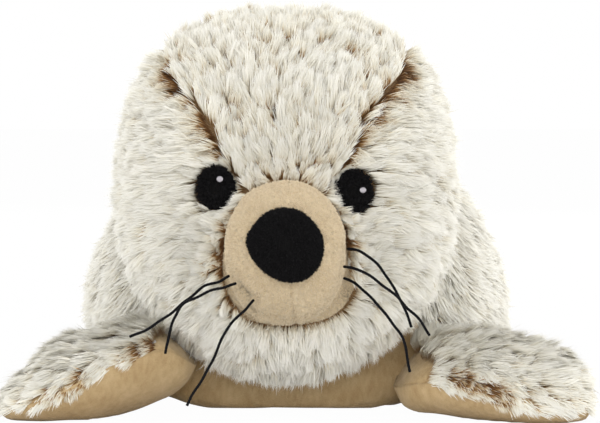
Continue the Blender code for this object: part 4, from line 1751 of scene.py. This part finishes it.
@dataclass
class Face:
    """Nose and eyes."""

    nose_half_width: float = 16.4
    nose_up: float = 14.9
    nose_down: float = 17.3
    nose_bulge: float = 5.0
    nose_rim: float = 1.6
    nose_x: float = -0.2
    nose_z: float = 87.3
    nose_skew: float = 2.8
    nose_trim_up: float = 0.3
    nose_trim_down: float = 0.1
    clearance: float = 0.6
    eye_radius: float = 10.0
    eye_narrowness: float = 0.89
    eye_bottom: float = -7.0
    eye_rim: float = -1.7
    eye_dome: float = 0.9
    stitch_count: int = 7
    highlight_radius: float = 1.45
    spokes: int = 72
    eye_spokes: int = 64
    nose_strands: int = 9000
    eye_strands: int = 4000
    nose_fronts: tuple = (0.0, 0.18, 0.35, 0.5, 0.64, 0.76, 0.86, 0.93, 0.975, 1.0)
    nose_backs: tuple = (0.985, 0.95, 0.84, 0.68, 0.5, 0.3, 0.0)

    def nose_place(self, share: float, angle: float) -> tuple[float, float]:
        """A place on the nose from the front, with trimmed corners and a leaning bottom.

        Args:
            share: Share of the way from its middle to its rim.
            angle: Angle about its middle, in radians.

        Returns:
            The place across and up, in millimetres.
        """
        rise = math.sin(angle)
        if rise > 0:
            trim, height = self.nose_trim_up, self.nose_up
        else:
            trim, height = self.nose_trim_down, self.nose_down
        across = self.nose_half_width * math.cos(angle) * (1.0 - trim * (rise * math.cos(angle)) ** 2)
        lean = self.nose_skew * max(0.0, -rise)
        return self.nose_x + share * (across + lean), self.nose_z + share * height * rise

    def nose(self, tree: BVHTree, materials: Materials) -> None:
        """The nose pad, domed over the muzzle, and its pile.

        Args:
            tree: The muzzle.
            materials: The finishes.
        """
        grid = []
        shares = [(share, True) for share in self.nose_fronts]
        shares += [(share, False) for share in self.nose_backs]
        for share, front in shares:
            for angle in np.linspace(0, 2 * math.pi, self.spokes + 1):
                place, normal = seen_from_front(tree, *self.nose_place(share, angle))
                lift = self.clearance
                if front:
                    dome = math.sqrt(max(0.0, 1.0 - share**2))
                    lift += self.nose_rim + (self.nose_bulge - self.nose_rim) * dome
                grid.append(place + lift * MM * normal)
        points = np.array(grid).reshape(len(shares), self.spokes + 1, 3)
        piece = sheet_of("nose_pad", points, materials.black, 0.0)
        enrol(piece, Slot.BLACK, "nose")
        front = Patch.of_grid(points[1 : len(self.nose_fronts)], np.array((0.0, -0.13, 0.085)))
        self.pile("nose_pile", front, self.nose_strands, 0.9, materials.black_pile, "nose")

    def pile(
        self, name: str, patch: Patch, count: int, length: float, material: bpy.types.Material, node: str
    ) -> bpy.types.Object:
        """Short black pile on a pad.

        Args:
            name: Name of the piece.
            patch: The pad's face.
            count: How many strands.
            length: Their length against the pile's own.
            material: Their finish.
            node: The pad's CAD node.

        Returns:
            The piece.
        """
        roots = patch.scatter(np.random.default_rng(Chance.PAD_ROOTS), count)
        comb = Comb.even(roots.along + np.array([0.0, 0.0, -0.3]), length)
        piece = Fur(SHORT_PILE, material).grow(name, roots, comb, Chance.PAD_PILE)
        return enrol(piece, Slot.BLACK, node)

    def eye(self, side: Side, tree: BVHTree, materials: Materials) -> tuple[Vector, Vector]:
        """One eye with its stitched highlight.

        Args:
            side: The side.
            tree: The fur's outer face.
            materials: The finishes.

        Returns:
            The eye's centre and the way it faces.
        """
        (x, z), (glint_x, glint_z) = EYES[side]
        place, normal = seen_from_front(tree, x, z)
        across = Vector((0.0, 0.0, 1.0)).cross(normal).normalized()
        turn = Matrix((across, normal.cross(across), normal)).transposed().to_4x4()
        stand = Matrix.Translation(place) @ turn
        profile = (
            (0.0, self.eye_rim + self.eye_dome),
            (0.3, self.eye_rim + 0.9 * self.eye_dome),
            (0.6, self.eye_rim + 0.66 * self.eye_dome),
            (0.82, self.eye_rim + 0.34 * self.eye_dome),
            (0.95, self.eye_rim),
            (1.0, self.eye_rim - 0.5),
            (1.0, self.eye_bottom),
            (0.0, self.eye_bottom),
        )
        rings = []
        for share, height in profile:
            ring = []
            for angle in np.linspace(0.0, 2 * math.pi, self.eye_spokes + 1):
                reach = share * self.eye_radius * (1.0 + 0.012 * math.sin(3 * angle + glint_x))
                aside = self.eye_narrowness * reach * math.cos(angle)
                ring.append(stand @ (Vector((aside, reach * math.sin(angle), height)) * MM))
            rings.append(ring)
        piece = sheet_of("eye_pad_" + side.value, np.array(rings), materials.black, 0.0)
        node = "eye_" + side.value
        enrol(piece, Slot.BLACK, node)
        front = Patch.of_grid(np.array(rings)[1:6], np.array(place) * (1.0, 0.8, 1.0))
        self.pile("eye_pile_" + side.value, front, self.eye_strands, 1.5, materials.black_pile, node)
        self.highlight(side, stand, (glint_x, glint_z), materials)
        return place, normal

    def highlight(self, side: Side, stand: Matrix, centre: tuple, materials: Materials) -> None:
        """Satin stitches that make the eye's highlight.

        Args:
            side: The side.
            stand: The eye's frame.
            centre: Place of the highlight on the eye, in millimetres.
            materials: The finishes.
        """
        bm = bmesh.new()
        width = 2.0 * self.highlight_radius / self.stitch_count
        for i in range(self.stitch_count):
            offset = -self.highlight_radius + (i + 0.5) * width
            half = math.sqrt(self.highlight_radius**2 - offset**2)
            made = bmesh.ops.create_uvsphere(bm, u_segments=10, v_segments=8, radius=1.0)
            lay = Matrix.Translation((centre[0] + offset, centre[1], self.eye_rim + self.eye_dome + 0.75))
            size = Matrix.Diagonal((0.58 * width, 1.08 * half, 0.5, 1.0))
            bmesh.ops.transform(bm, matrix=lay @ size, verts=made["verts"])
        bmesh.ops.scale(bm, vec=(MM, MM, MM), verts=bm.verts[:])
        bmesh.ops.transform(bm, matrix=stand, verts=bm.verts[:])
        piece = finished("eye_highlight_" + side.value, bm, materials.white)
        enrol(piece, Slot.WHITE, "eye_glint_" + side.value)


class Panel(Enum):
    """Fur panels of the head, each with its CAD node."""

    FOREHEAD = "forehead_panel"
    CHEEK_LEFT = "cheek_left"
    CHEEK_RIGHT = "cheek_right"


class Seam(Enum):
    """Edges of the head's panels."""

    LEFT = "left forehead seam"
    RIGHT = "right forehead seam"
    CHIN = "chin seam"
    MUZZLE = "muzzle seam"
    NECK = "neck seam"


# How each panel's fur parts at its edges, in turn
PARTINGS = {
    Panel.FOREHEAD: {
        Seam.LEFT: FOREHEAD_SEAM, Seam.RIGHT: FOREHEAD_SEAM, Seam.MUZZLE: MUZZLE_EDGE, Seam.NECK: NECK_EDGE,
    },
    Panel.CHEEK_LEFT: {
        Seam.LEFT: CHEEK_SEAM, Seam.CHIN: CHIN_SEAM, Seam.MUZZLE: MUZZLE_EDGE, Seam.NECK: NECK_EDGE,
    },
    Panel.CHEEK_RIGHT: {
        Seam.RIGHT: CHEEK_SEAM, Seam.CHIN: CHIN_SEAM, Seam.MUZZLE: MUZZLE_EDGE, Seam.NECK: NECK_EDGE,
    },
}


@dataclass
class Seal:
    """The whole seal, built panel by panel."""

    forehead_strands: int = 76000
    cheek_strands: int = 88000
    collar_strands: int = 9000
    muzzle_strands: int = 44000
    back_strands: int = 92000
    flipper_strands: int = 36000
    rear_flipper_strands: int = 7000
    brow_reach: float = 92.0
    left_brow_start: float = 20.0
    right_brow_start: float = 15.0
    seam_rise: float = 14.0
    seam_rows: int = 12
    eye_gap: float = 0.1
    eye_reach: float = 9.0
    eye_rim: tuple = (0.5, 4.0)
    eye_shorten: float = 0.1
    eye_shorten_inward: float = 0.5
    eye_comb: float = 0.9
    eye_lift: float = 1.6
    eye_brown: float = 0.5
    quick_share: float = 0.4
    eyes: dict[Side, tuple[Vector, Vector]] = field(default_factory=dict)

    def __post_init__(self) -> None:
        """Loft the surfaces and make the finishes."""
        self.materials = Materials()
        self.torso = Torso()
        self.fine = Torso(row_fine=MUZZLE_ROW_FINE)
        self.tree = self.torso.surface.tree()
        self.muzzle_tree = self.fine.surface.tree()
        self.face = Face()
        self.share = 1.0

    def depths(self) -> np.ndarray:
        """Depth of the fur's backing at each point of head and body, in metres."""
        torso = self.torso
        points = torso.surface.points
        seam = points[torso.muzzle]
        depths = np.full(points.shape[:2], FUR_DEPTH)
        for i in range(torso.muzzle, torso.muzzle + self.seam_rows * ROW_FINE):
            gap = np.linalg.norm(points[i] - seam, axis=1) / MM
            depths[i] = SEAM_DEPTH + (FUR_DEPTH - SEAM_DEPTH) * smooth(gap, 0.0, self.seam_rise)
        depths += 0.25 * waves(points, 0.04, Field.BACKING_DEPTH)
        return depths * MM

    def fur_panel(self, name: str, patch: Patch, node: str) -> None:
        """The backing of a fur panel."""
        piece = sheet_of(name, patch.backing(), self.materials.ground, FUR_CLOTH)
        enrol(piece, Slot.FUR, node)

    def build_head(self) -> None:
        """Forehead, cheeks and muzzle."""
        torso = self.torso
        depths = self.depths()
        points = torso.surface.points
        seams = {
            Seam.LEFT: self.brow_seam(torso.left_seam, self.left_brow_start),
            Seam.RIGHT: self.brow_seam(torso.right_seam, self.right_brow_start),
            Seam.CHIN: points[torso.muzzle : torso.neck + 1, torso.keel],
            Seam.MUZZLE: points[torso.muzzle],
            Seam.NECK: points[torso.neck, torso.left_belly - 20 : torso.right_belly + 21],
        }
        crown = (torso.right_seam, torso.columns + torso.left_seam)
        panels = {
            Panel.FOREHEAD: (crown, self.forehead_strands, FOREHEAD_PILE),
            Panel.CHEEK_LEFT: ((torso.left_seam, torso.keel), self.cheek_strands, CHEEK_PILE),
            Panel.CHEEK_RIGHT: ((torso.keel, torso.right_seam), self.cheek_strands, CHEEK_PILE),
        }
        for order, (panel, (columns, strands, pile)) in enumerate(panels.items()):
            name = panel.name.lower()
            patch = Patch.cut(torso.surface, depths, (torso.muzzle, torso.neck), columns)
            self.fur_panel(name + "_ground", patch, panel.value)
            rng = np.random.default_rng(Chance.HEAD_ROOTS + order)
            roots = self.clear_of_eyes(patch.scatter(rng, int(strands * self.share)))
            comb = self.head_comb(panel, roots)
            for seam, parting in PARTINGS[panel].items():
                parting.apply(seams[seam], roots, comb)
            self.open_spots(roots, comb)
            self.part_round_eyes(roots, comb)
            fur = Fur(pile, self.materials.fur)
            piece = fur.grow(name + "_fur", roots, comb, Chance.HEAD_FUR + order)
            enrol(piece, Slot.FUR, panel.value)
        self.build_collar()
        self.build_muzzle()

    def build_collar(self) -> None:
        """Fur of the cheeks that lies over the sides of the muzzle."""
        torso = self.torso
        surface = torso.surface
        rows = (torso.muzzle - 3, torso.muzzle + 1)
        spans = {Side.LEFT: (0, torso.keel), Side.RIGHT: (torso.keel, torso.columns)}
        fur = Fur(COLLAR_PILE, self.materials.fur)
        for side, (low, high) in COLLARS.items():
            patch = Patch.cut(surface, np.zeros(surface.points.shape[:2]), rows, spans[side])
            rng = np.random.default_rng(Chance.COLLAR_ROOTS)
            roots = patch.scatter(rng, int(self.collar_strands * self.share))
            height = roots.places[:, 2] / MM + rng.normal(0.0, 2.5, len(roots.places))
            roots = roots.only((height > low) & (height < high))
            away = roots.across if side == Side.LEFT else -roots.across
            comb = Comb(
                roots.along + 0.45 * away,
                0.62 + 0.22 * waves(roots.places, 0.009, Field.COLLAR_LENGTH),
                0.14 + 0.3 * waves(roots.places, 0.012, Field.COLLAR_BROWN),
                0.8 + 0.35 * waves(roots.places, 0.01, Field.COLLAR_LIFT),
            )
            piece = fur.grow("collar_fur_" + side.value, roots, comb, Chance.COLLAR_FUR)
            enrol(piece, Slot.FUR, "cheek_" + side.value)

    def brow_seam(self, column: int, bare: float) -> np.ndarray:
        """The part of a seam beside the forehead along which brown shows.

        Args:
            column: The seam's column.
            bare: How far from the muzzle it begins, in millimetres.

        Returns:
            Points of the seam.
        """
        torso = self.torso
        line = torso.surface.points[torso.muzzle : torso.neck + 1, column]
        gap = np.linalg.norm(line - line[0], axis=1) / MM
        return line[(gap > bare) & (gap < self.brow_reach)]

    def head_comb(self, panel: Panel, roots: Roots) -> Comb:
        """How the fur of a head panel lies.

        Args:
            panel: The panel.
            roots: Its strands.

        Returns:
            The lie.
        """
        browns = 0.08 + 0.07 * waves(roots.places, 0.035, Field.HEAD_BROWN)
        if panel == Panel.FOREHEAD:
            directions = roots.along + np.array([0.0, 0.075, 0.5])
            # The forehead's fur gets twice the brown: partly its own brown roots, partly painted shade for
            # a forehead that takes less light.
            browns = 2.0 * browns + 0.04
        else:
            left = panel == Panel.CHEEK_LEFT
            away = roots.across if left else -roots.across
            place = roots.columns if left else self.torso.columns - roots.columns
            start = self.torso.left_seam
            fade = 1.0 - smooth(place, start, start + 44.0)
            directions = roots.along + (0.25 + 0.75 * fade)[:, None] * away
            directions += (1.0 - fade)[:, None] * np.array([0.0, 0.0, -0.35])
        height = roots.heights / (FUR_DEPTH * MM)
        lengths = np.clip(0.45 + 0.55 * height, 0.5, 1.0)
        return Comb(directions, lengths, browns, np.clip(height, 0.3, 1.1))

    def open_spots(self, roots: Roots, comb: Comb) -> None:
        """Open the fur at the brown spots.

        Args:
            roots: The strands.
            comb: Their lie, changed in place.
        """
        for x, z, radius, brown in BROWN_SPOTS:
            place, _ = seen_from_front(self.tree, x, z)
            spot = Parting(radius * MM, brown=brown, shorten=0.35, spread=0.5)
            spot.apply(np.array(place)[None, :], roots, comb)

    def gaps_to_eye(self, places: np.ndarray, eye: tuple) -> tuple[np.ndarray, np.ndarray]:
        """How far points lie from an eye's rim.

        Args:
            places: The points.
            eye: Its centre and the way it faces.

        Returns:
            The way to each point in the eye's plane, and its distance from the rim in millimetres.
        """
        place, normal = (np.array(item) for item in eye)
        gap = places - place
        flat = gap - dot(gap, normal) * normal
        aside = dot(flat, unit(np.cross((0.0, 0.0, 1.0), normal)))[:, 0]
        wide = aside**2 * (1.0 / self.face.eye_narrowness**2 - 1.0)
        reach = np.sqrt(np.linalg.norm(flat, axis=1) ** 2 + wide)
        return flat, reach / MM - self.face.eye_radius

    def clear_of_eyes(self, roots: Roots) -> Roots:
        """Leave out strands that would stand where an eye is."""
        keep = np.ones(len(roots.places), bool)
        for eye in self.eyes.values():
            keep &= self.gaps_to_eye(roots.places, eye)[1] > self.eye_gap
        return roots.only(keep)

    def part_round_eyes(self, roots: Roots, comb: Comb) -> None:
        """Shorten the fur at the eyes and comb it off them."""
        for eye in self.eyes.values():
            flat, reach = self.gaps_to_eye(roots.places, eye)
            share = 1.0 - smooth(reach, 0.0, self.eye_reach)
            rim = 1.0 - smooth(reach, *self.eye_rim)
            inward = np.clip(-np.sum(unit(flat) * unit(comb.directions), axis=1), 0.0, 1.0)
            comb.lengths *= 1.0 - share * (self.eye_shorten + self.eye_shorten_inward * inward)
            push = (self.eye_comb * share * inward)[:, None]
            comb.directions = unit(comb.directions) + push * unit(flat)
            comb.lifts += rim * (self.eye_lift - comb.lifts)
            comb.browns -= self.eye_brown * rim

    def build_muzzle(self) -> None:
        """The tan muzzle and its short pile, with painted shade in its folds and on its lower part."""
        torso = self.fine
        patch = Patch.cut(torso.surface, self.dimples(), (0, torso.muzzle), (0, torso.columns))
        piece = sheet_of("muzzle_plush", patch.backing(), self.materials.muzzle, PLUSH_CLOTH)
        enrol(piece, Slot.TAN, "muzzle_cover")
        rng = np.random.default_rng(Chance.MUZZLE_ROOTS)
        roots = patch.scatter(rng, int(self.muzzle_strands * self.share))
        comb = Comb.even(roots.along)
        # Painted shade: pile where the cloth lies more than 1.1 mm in, at folds, whisker dents and the
        # middle seam, is darkened.
        comb.browns += np.clip((roots.heights / MM - 1.1) / 3.0, 0.0, 1.0)
        # Painted shade: the pile darkens toward the bottom of the muzzle, where less light falls.
        comb.browns += 0.25 * (1.0 - smooth(roots.places[:, 2] / MM, 50.0, 72.0))
        fur = Fur(SHORT_PILE, self.materials.muzzle_pile)
        piece = fur.grow("muzzle_pile", roots, comb, Chance.MUZZLE_PILE)
        enrol(piece, Slot.TAN, "muzzle_cover")

    def dimples(self) -> np.ndarray:
        """How far the muzzle's cloth lies in at its seam, whiskers and folds, in metres; the deepest places
        also get painted shade.
        """
        points = self.fine.surface.points
        depths = 0.7 + 0.3 * waves(points, 0.022, Field.MUZZLE_DEPTH)
        sinks = [(*knots[0], *WHISKER_DENT) for knots in WHISKERS.values()]
        for x, z, reach, deep in MUZZLE_FOLDS:
            place, _ = seen_from_front(self.muzzle_tree, x, z)
            sinks.append((*(np.array(place) / MM), reach, deep))
        for x, y, z, reach, deep in sinks:
            middle = np.array(self.muzzle_tree.find_nearest(Vector((x, y, z)) * MM)[0])
            gap = np.linalg.norm(points - middle, axis=2) / MM
            depths += deep * np.exp(-((gap / reach) ** 2))
        across = points[..., 0] / MM
        height = points[..., 2] / MM
        aside = across - MIDDLE_SEAM_X + MIDDLE_SEAM_LEAN * (height - MIDDLE_SEAM_Z)
        seam = np.exp(-((aside / MIDDLE_SEAM_WIDTH) ** 2)) * (1.0 - smooth(height, *MIDDLE_SEAM_FADE))
        return (depths + MIDDLE_SEAM_DEPTH * seam) * MM

    def build_body(self) -> None:
        """Back and belly."""
        torso = self.torso
        depths = self.depths()
        rows = (torso.neck, torso.last)
        span = (torso.right_belly, torso.columns + torso.left_belly)
        back = Patch.cut(torso.surface, depths, rows, span)
        self.fur_panel("back_ground", back, "back_panel")
        rng = np.random.default_rng(Chance.BACK_ROOTS)
        roots = back.scatter(rng, int(self.back_strands * self.share))
        comb = Comb.even(roots.along + np.array([0.0, 0.0, -0.25]))
        comb.browns += 0.03 + 0.05 * waves(roots.places, 0.05, Field.BACK_BROWN)
        join = line_from_front(self.tree, SHOULDER_PART_LINE, -0.02)
        SHOULDER_PART.apply(join, roots, comb)
        fur = Fur(BACK_PILE, self.materials.fur)
        right = roots.columns < torso.columns
        for side, mask in ((Side.RIGHT, right), (Side.LEFT, ~right)):
            name = "back_fur_" + side.value
            piece = fur.grow(name, roots.only(mask), comb.only(mask), Chance.BACK_FUR)
            enrol(piece, Slot.FUR, "back_panel")
        flat = np.zeros(torso.surface.points.shape[:2])
        belly = Patch.cut(torso.surface, flat, rows, (torso.left_belly, torso.right_belly))
        dents = 0.4 * MM * (1 + waves(belly.points, 0.03, Field.BELLY_DEPTH))
        points = belly.points - dents[..., None] * belly.normals
        points[..., 2] = np.maximum(points[..., 2], CLOTH_FLOOR)
        piece = sheet_of("belly_plush", points, self.materials.belly, PLUSH_CLOTH)
        enrol(piece, Slot.TAN, "belly_panel")

    def build(self) -> None:
        """Build every piece."""
        Whiskers().build(self.muzzle_tree, self.materials.thread)
        self.face.nose(self.muzzle_tree, self.materials)
        for side in EYES:
            self.eyes[side] = self.face.eye(side, self.tree, self.materials)
        self.build_head()
        self.build_body()
        flippers = (
            Flipper(
                "front_flipper_left",
                FRONT_FLIPPER_LEFT_ROWS,
                FLIPPER_STEPS,
                self.flipper_strands,
                fur_start=66.0,
                splay=0.15,
                part_lines=LEFT_PART_LINES,
            ),
            Flipper(
                "front_flipper_right",
                FRONT_FLIPPER_RIGHT_ROWS,
                FLIPPER_STEPS,
                self.flipper_strands,
                fur_start=-60.0,
                splay=0.3,
                part_lines=RIGHT_PART_LINES,
            ),
            RearFlipper(
                "rear_flipper_left", REAR_FLIPPER_ROWS, REAR_FLIPPER_STEPS, self.rear_flipper_strands
            ),
            RearFlipper(
                "rear_flipper_right",
                mirrored(REAR_FLIPPER_ROWS),
                REAR_FLIPPER_STEPS,
                self.rear_flipper_strands,
            ),
        )
        for flipper in flippers:
            flipper.build(self)
        for node in ("body_stuffing", *(flipper.name + "_filling" for flipper in flippers)):
            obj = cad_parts[node]
            obj.data.materials.clear()
            obj.data.materials.append(self.materials.fibre)


def mirrored(rows: tuple) -> tuple:
    """Flipper rows for the other side."""
    return tuple((row[0], -row[1], row[2], -row[3], *row[4:]) for row in rows)


@dataclass
class Flipper:
    """One flipper: furry top and smooth tan sole."""

    name: str
    rows: tuple
    steps: tuple
    strands: int
    fur_start: float = 0.0
    splay: float = 0.5
    part_lines: tuple = ()
    part_depth: float = -0.11
    cells: int = 28
    row_fine: int = 4
    least_depth: float = 0.8
    depth_share: float = 0.24

    def __post_init__(self) -> None:
        """Fill in the table and the angles round each row."""
        self.table = filled_rows(self.rows, [count * self.row_fine for count in self.steps])
        self.angles = np.linspace(0, 2 * math.pi, 2 * self.cells, endpoint=False)

    @staticmethod
    def laid(places: np.ndarray, chord: np.ndarray, heights: np.ndarray) -> np.ndarray:
        """Points of a ring whose rows run across the seal."""
        return np.stack([places, chord, heights], axis=1)

    def surface(self) -> Surface:
        """Loft the flipper's outer face.

        Returns:
            The surface, its first column at the front or inner seam.
        """
        blend = 0.5 + 0.5 * np.cos(self.angles)
        rise = np.sin(self.angles)
        rings = []
        for place, front, front_z, back, back_z, up, down in self.table:
            level = front_z * blend + back_z * (1 - blend)
            heights = np.maximum(level + np.where(rise > 0, up, down) * rise, 0.0)
            chord = front * blend + back * (1 - blend)
            rings.append(self.laid(np.full(len(chord), place), chord, heights))
        for end in (0, -1):
            rings[end][:] = rings[end].mean(axis=0)
        return Surface(np.array(rings) * MM)

    def depths(self) -> np.ndarray:
        """Depth of the backing under the fur, less where the flipper is thin."""
        thick = (self.table[:, 5] + self.table[:, 6])[:, None]
        rise = np.maximum(np.sin(self.angles), 0.0)[None, :]
        return np.minimum(FUR_DEPTH, self.least_depth + self.depth_share * thick * rise) * MM

    def build(self, seal: Seal) -> None:
        """Make top, sole and fur.

        Args:
            seal: The seal that it belongs to.
        """
        surface = self.surface()
        depths = self.depths()
        last = len(surface.points) - 1
        top = Patch.cut(surface, depths, (0, last), (0, self.cells))
        sole = Patch.cut(surface, np.zeros_like(depths), (0, last), (self.cells, 2 * self.cells))
        for key, patch, slot, thick in (
            ("top", top, Slot.FUR, FUR_CLOTH),
            ("sole", sole, Slot.TAN, SOLE_CLOTH),
        ):
            name = f"{self.name}_{key}_cloth"
            piece = self.panel(name, patch.backing(), seal.materials.belly, thick, seal.tree)
            enrol(piece, slot, f"{self.name}_{key}")
        rng = np.random.default_rng(Chance.FLIPPER_ROOTS)
        roots = self.bare_end(seal, top.scatter(rng, int(self.strands * seal.share)))
        around = math.pi * roots.columns / self.cells
        splay = (np.cos(around) * -self.splay)[:, None] * roots.across
        lifts = np.clip(roots.heights / (FUR_DEPTH * MM), 0.3, 1.0)
        browns = 0.07 + 0.06 * waves(roots.places, 0.03, Field.FLIPPER_BROWN)
        comb = Comb(roots.along + splay, 0.7 + 0.25 * lifts, browns, lifts)
        tree = surface.tree()
        for line in self.part_lines:
            FLIPPER_PART.apply(line_from_front(tree, line, self.part_depth), roots, comb)
        fur = Fur(FLIPPER_PILE, seal.materials.fur)
        piece = fur.grow(f"{self.name}_fur", roots, comb, Chance.FLIPPER_FUR)
        enrol(piece, Slot.FUR, f"{self.name}_top")

    def bare_end(self, seal: Seal, roots: Roots) -> Roots:
        """Leave out strands inside the body and before the line where the fur starts.

        Args:
            seal: The seal that the flipper belongs to.
            roots: The strands.

        Returns:
            The strands that stay.
        """
        roots = roots.only(~inside(seal.tree, roots.places, 0.006))
        if self.fur_start:
            edge = self.fur_start + 2.0 * waves(roots.places, 0.02, Field.FLIPPER_EDGE)
            side = math.copysign(1.0, self.fur_start)
            roots = roots.only(side * (roots.places[:, 0] / MM - edge) > 0)
        return roots

    def panel(
        self, name: str, points: np.ndarray, material: bpy.types.Material, thick: float, body: BVHTree
    ) -> bpy.types.Object:
        """A panel of the flipper, left off where it would lie inside the body.

        Args:
            name: Name of the piece.
            points: Its outer face.
            material: Its finish.
            thick: Its thickness.
            body: The body's outer face.

        Returns:
            The piece.
        """
        piece = sheet_of(name, points, material, thick)
        bm = bmesh.new()
        bm.from_mesh(piece.data)
        places = np.array([face.calc_center_median() for face in bm.faces])
        hidden = inside(body, places, 0.003)
        gone = [face for face, deep in zip(bm.faces, hidden) if deep]
        bmesh.ops.delete(bm, geom=gone, context="FACES")
        bmesh.ops.recalc_face_normals(bm, faces=bm.faces[:])
        bm.to_mesh(piece.data)
        bm.free()
        self.face_out(piece)
        return piece

    def face_out(self, piece: bpy.types.Object) -> None:
        """Turn an open sheet's faces away from the flipper's middle."""
        mesh = piece.data
        normals = np.empty(3 * len(mesh.polygons))
        mesh.polygons.foreach_get("normal", normals)
        upward = normals.reshape(-1, 3)[:, 2].sum()
        wanted = 1.0 if piece.name.endswith("top_cloth") else -1.0
        if upward * wanted < 0:
            mesh.flip_normals()


class RearFlipper(Flipper):
    """A flipper whose rows run from front to back."""

    @staticmethod
    def laid(places: np.ndarray, chord: np.ndarray, heights: np.ndarray) -> np.ndarray:
        """Points of a ring whose rows run along the seal."""
        return np.stack([chord, places, heights], axis=1)


def inside(tree: BVHTree, places: np.ndarray, depth: float) -> np.ndarray:
    """Which points lie inside a closed surface by at least a depth.

    Args:
        tree: The surface.
        places: The points.
        depth: The least depth, in metres.

    Returns:
        A mask.
    """
    found = np.zeros(len(places), bool)
    for i, place in enumerate(places):
        near, normal, _, gap = tree.find_nearest(Vector(place))
        found[i] = gap > depth and (Vector(place) - near).dot(normal) < 0
    return found


def main() -> None:
    """Build the studio and the seal."""
    logging.basicConfig(level=logging.INFO, format="%(message)s")
    studio = Studio()
    studio.camera()
    Seal().build()
    studio.build()


if __name__ == "__main__":
    main()
